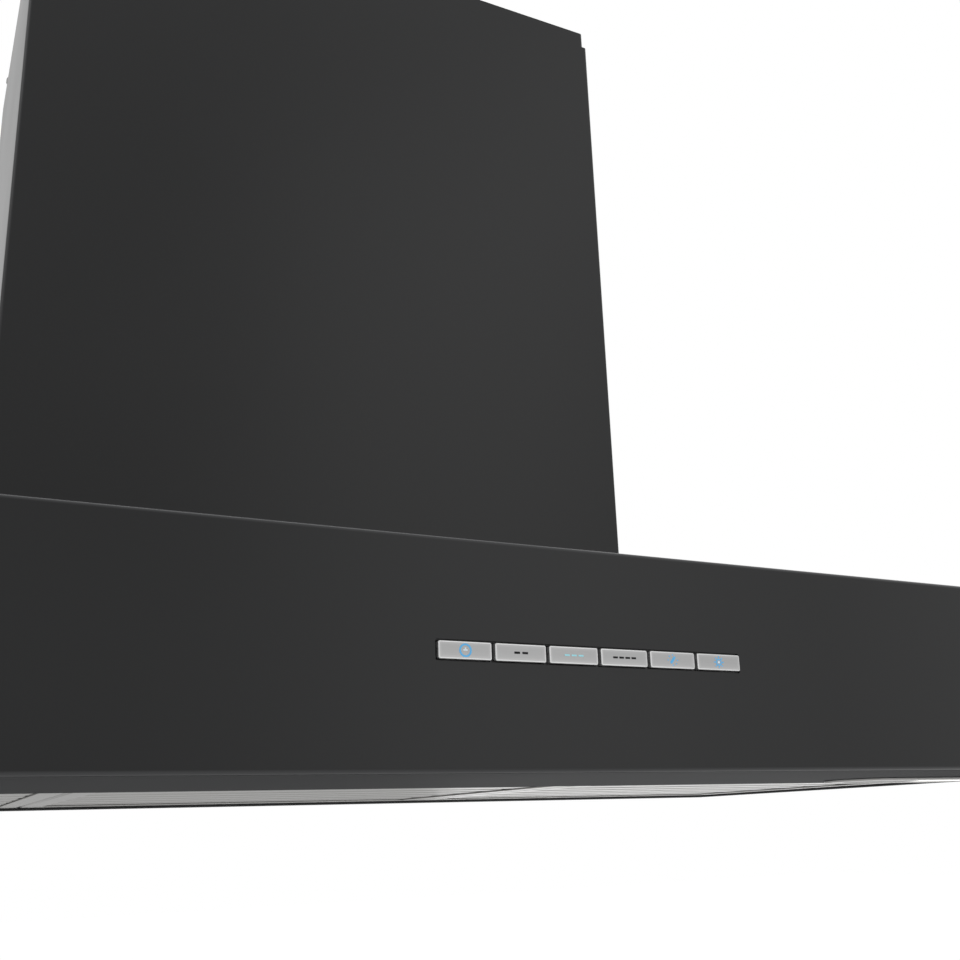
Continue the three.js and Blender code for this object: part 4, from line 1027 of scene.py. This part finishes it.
def lamp_lens(node, bezel):
    """The diffuser: a stadium whose crown comes down to the bezel's face.

    At a share of the way from its middle line to its edge it is crown * share^2 over that face.
    """
    low, high, centre, reach, radius = stadium_of(node)
    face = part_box(bezel)[0].z + CLEAR
    share = np.array([0.02, 0.25, 0.5, 0.7, 0.85, 0.93, 0.98, 1.0])
    crown = np.stack([radius * share, face + (low.z - face) * share**2], axis=1)
    profile = np.vstack([crown, (radius, high.z), (radius * share[0], high.z)])
    return Skin().closed(ring_of_profile(centre, reach, profile))


# ------------------------ fixings
def turned_heads(places, profile, axis, facing=1, steps=18):
    """The same small turned shape at several places: its (radius, rise) profile round an axis."""
    radii, rises = np.transpose(profile)
    turns = np.linspace(0, 2 * math.pi, steps, endpoint=False)[:, None]
    head = np.insert(circle(turns) * radii[:, None], axis, rises * facing, axis=2)
    skin = Skin()
    for place in places:
        skin.closed(head + place)
    return skin


def screw_profile(radius):
    """A pan head with a round drive recess: up the rim, over the crown, down into the recess."""
    return [
        (radius, -0.2 * MM), (radius, 0.55 * MM), (radius * 0.86, 1.25 * MM),
        (radius * 0.62, 1.6 * MM), (radius * 0.42, 1.7 * MM), (radius * 0.36, 1.1 * MM),
        (radius * 0.12, 0.9 * MM),
    ]


def bracket_bolt(node, facing):
    """A bracket screw that faces along x: a pointed shank from its tip to a high pan head."""
    low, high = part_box(node)
    tip, crown = sorted((low.x * facing, high.x * facing))
    seat = crown - 2.6 * MM
    thread, point = 1.9 * MM, 0.6 * MM
    start = tip - seat
    head = np.maximum(screw_profile(3.5 * MM), 0.0) * (1, 1.5)
    profile = [(0.3 * MM, start), (1.4 * MM, start), (thread, start + point), (thread, 0.0), *head]
    return turned_heads([(seat * facing, *face_middle(low, high, X))], profile, X, facing)


def inset_corners(low, high, inset_x, inset_y, level):
    """Four places at a level, drawn in from a box's corners."""
    return [(x, y, level) for x in (low.x + inset_x, high.x - inset_x)
            for y in (low.y + inset_y, high.y - inset_y)]


# ------------------------ operators
class HoodOperator:
    """What the hood's operators share."""

    bl_options = {"REGISTER", "UNDO"}

    @property
    def sizes(self):
        return bpy.context.scene.hood_sizes


class HOOD_OT_canopy(HoodOperator, bpy.types.Operator):
    """Make the folded canopy with its key slot"""

    bl_idname = "hood.canopy"
    bl_label = "Canopy"

    def execute(self, context):
        piece = canopy_skin(self.sizes).object("canopy_skin", black_enamel())
        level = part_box("canopy_shell")[0].z + self.sizes.sheet / 2
        # the downward faces get the enamel copy with a painted reflection in its colour
        dull_below(piece, level, underside_enamel())
        settle(piece, "hood", "black_enamel", "canopy_shell")
        return {"FINISHED"}


class HOOD_OT_chimney(HoodOperator, bpy.types.Operator):
    """Make the lower chimney section with its rounded folds"""

    bl_idname = "hood.chimney"
    bl_label = "Chimney"

    def execute(self, context):
        piece = chimney_skin("chimney_lower", self.sizes).object("chimney_skin", black_enamel())
        settle(piece, "hood", "black_enamel", "chimney_lower")
        return {"FINISHED"}


class HOOD_OT_keys(HoodOperator, bpy.types.Operator):
    """Make the six key caps with their rounded rims"""

    bl_idname = "hood.keys"
    bl_label = "Keys"

    def execute(self, context):
        for node in KEYS:
            piece = key_cap(node, self.sizes).object(f"{node}_cap", key_metal(), 50.0)
            settle(piece, node, "key_metal", node)
        return {"FINISHED"}


class HOOD_OT_marks(HoodOperator, bpy.types.Operator):
    """Print the marks on the keys"""

    bl_idname = "hood.marks"
    bl_label = "Key marks"

    def execute(self, context):
        for node, marks in zip(KEYS, key_marks(self.sizes)):
            for ink, outlines in marks.items():
                piece = mark_skin(outlines, node).object(f"{node}_{ink.__name__}", ink())
                settle(piece, node, "key_metal")
        return {"FINISHED"}


class HOOD_OT_filters(HoodOperator, bpy.types.Operator):
    """Make the three baffle filters"""

    bl_idname = "hood.filters"
    bl_label = "Filters"

    def execute(self, context):
        for side in FILTER_SIDES:
            low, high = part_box(f"filter_{side}")
            skin = filter_frame(low, high, self.sizes)
            baffles(skin, low, high, self.sizes)
            rear_tabs(skin, low, high, self.sizes)
            piece = skin.object(f"filter_cassette_{side}", brushed_steel())
            settle(piece, f"filter_{side}", "stainless", f"filter_{side}")
        return {"FINISHED"}


class HOOD_OT_lamps(HoodOperator, bpy.types.Operator):
    """Make the lamps' bezels and frosted lenses"""

    bl_idname = "hood.lamps"
    bl_label = "Lamps"

    def execute(self, context):
        for side in LAMP_SIDES:
            bezel = lamp_bezel(f"lamp_bezel_{side}", self.sizes)
            settle(bezel.object(f"lamp_rim_{side}", pressed_steel()), "hood", "stainless",
                   f"lamp_bezel_{side}")
            lens = lamp_lens(f"lamp_lens_{side}", f"lamp_bezel_{side}")
            settle(lens.object(f"lamp_diffuser_{side}", frosted_lens()), "hood", "frosted_lens",
                   f"lamp_lens_{side}")
        return {"FINISHED"}


class HOOD_OT_fixings(HoodOperator, bpy.types.Operator):
    """Add the screws of the duct collar, the terminal lid, the blower's feet and the bracket"""

    bl_idname = "hood.fixings"
    bl_label = "Fixings"

    def execute(self, context):
        radius = self.sizes.screw_radius
        low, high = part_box("outlet_collar")
        around = (high.x - low.x) / 2 - radius - 0.6 * MM
        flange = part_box("blower_box")[1].z + 1.8 * MM
        ring = face_middle(low, high, Z) + around * circle(math.pi / 4 + QUARTERS)
        collar = np.insert(ring, Z, flange, axis=1)
        low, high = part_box("terminal_lid")
        lid = inset_corners(low, high, radius + 3 * MM, radius + 3 * MM, high.z)
        low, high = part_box("blower_box")
        feet = inset_corners(low, high, 5 * MM, 35 * MM, low.z + 1.0 * MM)
        for name, places in (("collar_screws", collar), ("lid_screws", lid), ("box_screws", feet)):
            heads = turned_heads(places, screw_profile(radius), Z)
            settle(heads.object(name, pressed_steel()), "hood", "stainless")
        for side, facing in (("left", -1), ("right", 1)):
            bolt = bracket_bolt(f"bracket_screw_{side}", facing)
            settle(bolt.object(f"bracket_bolt_{side}", pressed_steel()), "upper_chimney",
                   "stainless", f"bracket_screw_{side}")
        return {"FINISHED"}


class HOOD_OT_finishes(HoodOperator, bpy.types.Operator):
    """Give every solid that is shown as it is its own finish"""

    bl_idname = "hood.finishes"
    bl_label = "Finishes"

    def execute(self, context):
        same_name = (black_enamel, key_metal, dark_plastic, grey_plastic, frosted_lens,
                     circuit_board, silicone, cable_jacket)
        by_slot = {maker.__name__: maker for maker in same_name}
        by_slot.update(stainless=pressed_steel, zinc_steel=zinc_plate)
        own = {
            # the lamp panel gets the enamel copy with a painted reflection in its colour
            "lamp_panel": underside_enamel, "motor_shaft": turned_steel,
            "damper_spindle": turned_steel,
        }
        for part in frame["record"]["subparts"]:
            node = part["node"]
            maker = own.get(node, by_slot[part["material_slot"]])
            for slot in frame["nodes"][node].material_slots:
                slot.material = maker()
        return {"FINISHED"}


class HOOD_OT_stage(HoodOperator, bpy.types.Operator):
    """Set the pale floor, the soft lights, the world and the camera"""

    bl_idname = "hood.stage"
    bl_label = "Stage"

    def execute(self, context):
        stage = context.scene.hood_stage
        self.floor(stage)
        self.world(stage)
        level = stage.lamp_level
        self.lamp("front_soft_light", (1.2, -2.6, 0.5), (0.1, -0.5, 0.0), (1.1, 2.6), level * 0.6)
        self.lamp("left_soft_light", (-2.3, -1.1, 1.3), (0, -0.3, 0), (1.6, 1.6), level)
        self.lamp("rear_soft_light", (0.9, 2.2, 1.6), (0, -0.1, 0), (2.4, 2.4), level * 0.2)
        self.lamp("top_soft_light", (0.2, 0.1, 2.6), (0.1, -0.3, 0), (2.6, 1.4), level)
        self.lamp("low_soft_light", (1.9, 1.9, -0.7), (0.2, -0.3, -0.35), (1.5, 0.5), level * 2.2)
        self.camera(context, stage)
        context.scene.view_settings.view_transform = "Standard"
        return {"FINISHED"}

    def floor(self, stage):
        corners = np.array([(-1, -1), (1, -1), (1, 1), (-1, 1)]) * FLOOR_REACH
        skin = Skin().flat(np.insert(corners, Z, stage.floor_drop, axis=1))
        skin.object("floor", floor_paint())

    def world(self, stage):
        world = bpy.data.worlds.new("even_light")
        bpy.context.scene.world = world
        world.use_nodes = True
        g = Graph(world.node_tree)
        strength = stage.world_level + g.shown() * (1.0 - stage.world_level)
        sky = g.node("Background", {"Color": (1, 1, 1, 1), "Strength": strength})
        g.node("OutputWorld", [sky])

    def lamp(self, name, place, aim, size, level):
        """A soft lamp: its power is pi times its area times the brightness of its face."""
        data = bpy.data.lights.new(name, "AREA")
        data.shape = "RECTANGLE"
        data.size, data.size_y = size
        data.energy = math.pi * size[0] * size[1] * level
        made = add_object(name, data)
        made.location = place
        facing = Vector(aim) - Vector(place)
        made.rotation_euler = facing.to_track_quat("-Z", "Y").to_euler()

    def camera(self, context, stage):
        data = bpy.data.cameras.new("camera")
        data.sensor_width = 36.0
        data.lens = stage.camera_lens
        data.shift_y = stage.camera_shift
        made = add_object("camera", data)
        yaw = Matrix.Rotation(-stage.camera_yaw, 4, "Z")
        pitch = Matrix.Rotation(math.pi / 2 + stage.camera_pitch, 4, "X")
        roll = Matrix.Rotation(stage.camera_roll, 4, "Z")
        made.matrix_world = Matrix.Translation(stage.camera_place) @ yaw @ pitch @ roll
        context.scene.camera = made


class HOOD_PT_panel(bpy.types.Panel):
    """The hood's pieces in the sidebar"""

    bl_idname = "HOOD_PT_panel"
    bl_label = "Range hood"
    bl_space_type = "VIEW_3D"
    bl_region_type = "UI"
    bl_category = "Range hood"

    def draw(self, context):
        layout = self.layout
        for operator in OPERATORS:
            layout.operator(operator.bl_idname)
        for key in GROUPS:
            group = getattr(context.scene, key)
            box = layout.box()
            for name in group.__annotations__:
                box.prop(group, name)


OPERATORS = (
    HOOD_OT_stage, HOOD_OT_canopy, HOOD_OT_chimney, HOOD_OT_keys, HOOD_OT_marks,
    HOOD_OT_filters, HOOD_OT_lamps, HOOD_OT_fixings, HOOD_OT_finishes,
)
GROUPS = {"hood_sizes": HoodSizes, "hood_finishes": HoodFinishes, "hood_stage": HoodStage}
CLASSES = (*GROUPS.values(), *OPERATORS, HOOD_PT_panel)


def register():
    for item in CLASSES:
        bpy.utils.register_class(item)
    for name, group in GROUPS.items():
        setattr(bpy.types.Scene, name, bpy.props.PointerProperty(type=group))


def unregister():
    for name in GROUPS:
        delattr(bpy.types.Scene, name)
    for item in reversed(CLASSES):
        bpy.utils.unregister_class(item)


def main():
    """Makes the stage and every piece."""
    register()
    for operator in OPERATORS:
        getattr(bpy.ops.hood, operator.bl_idname.removeprefix("hood."))()


if __name__ == "__main__":
    main()
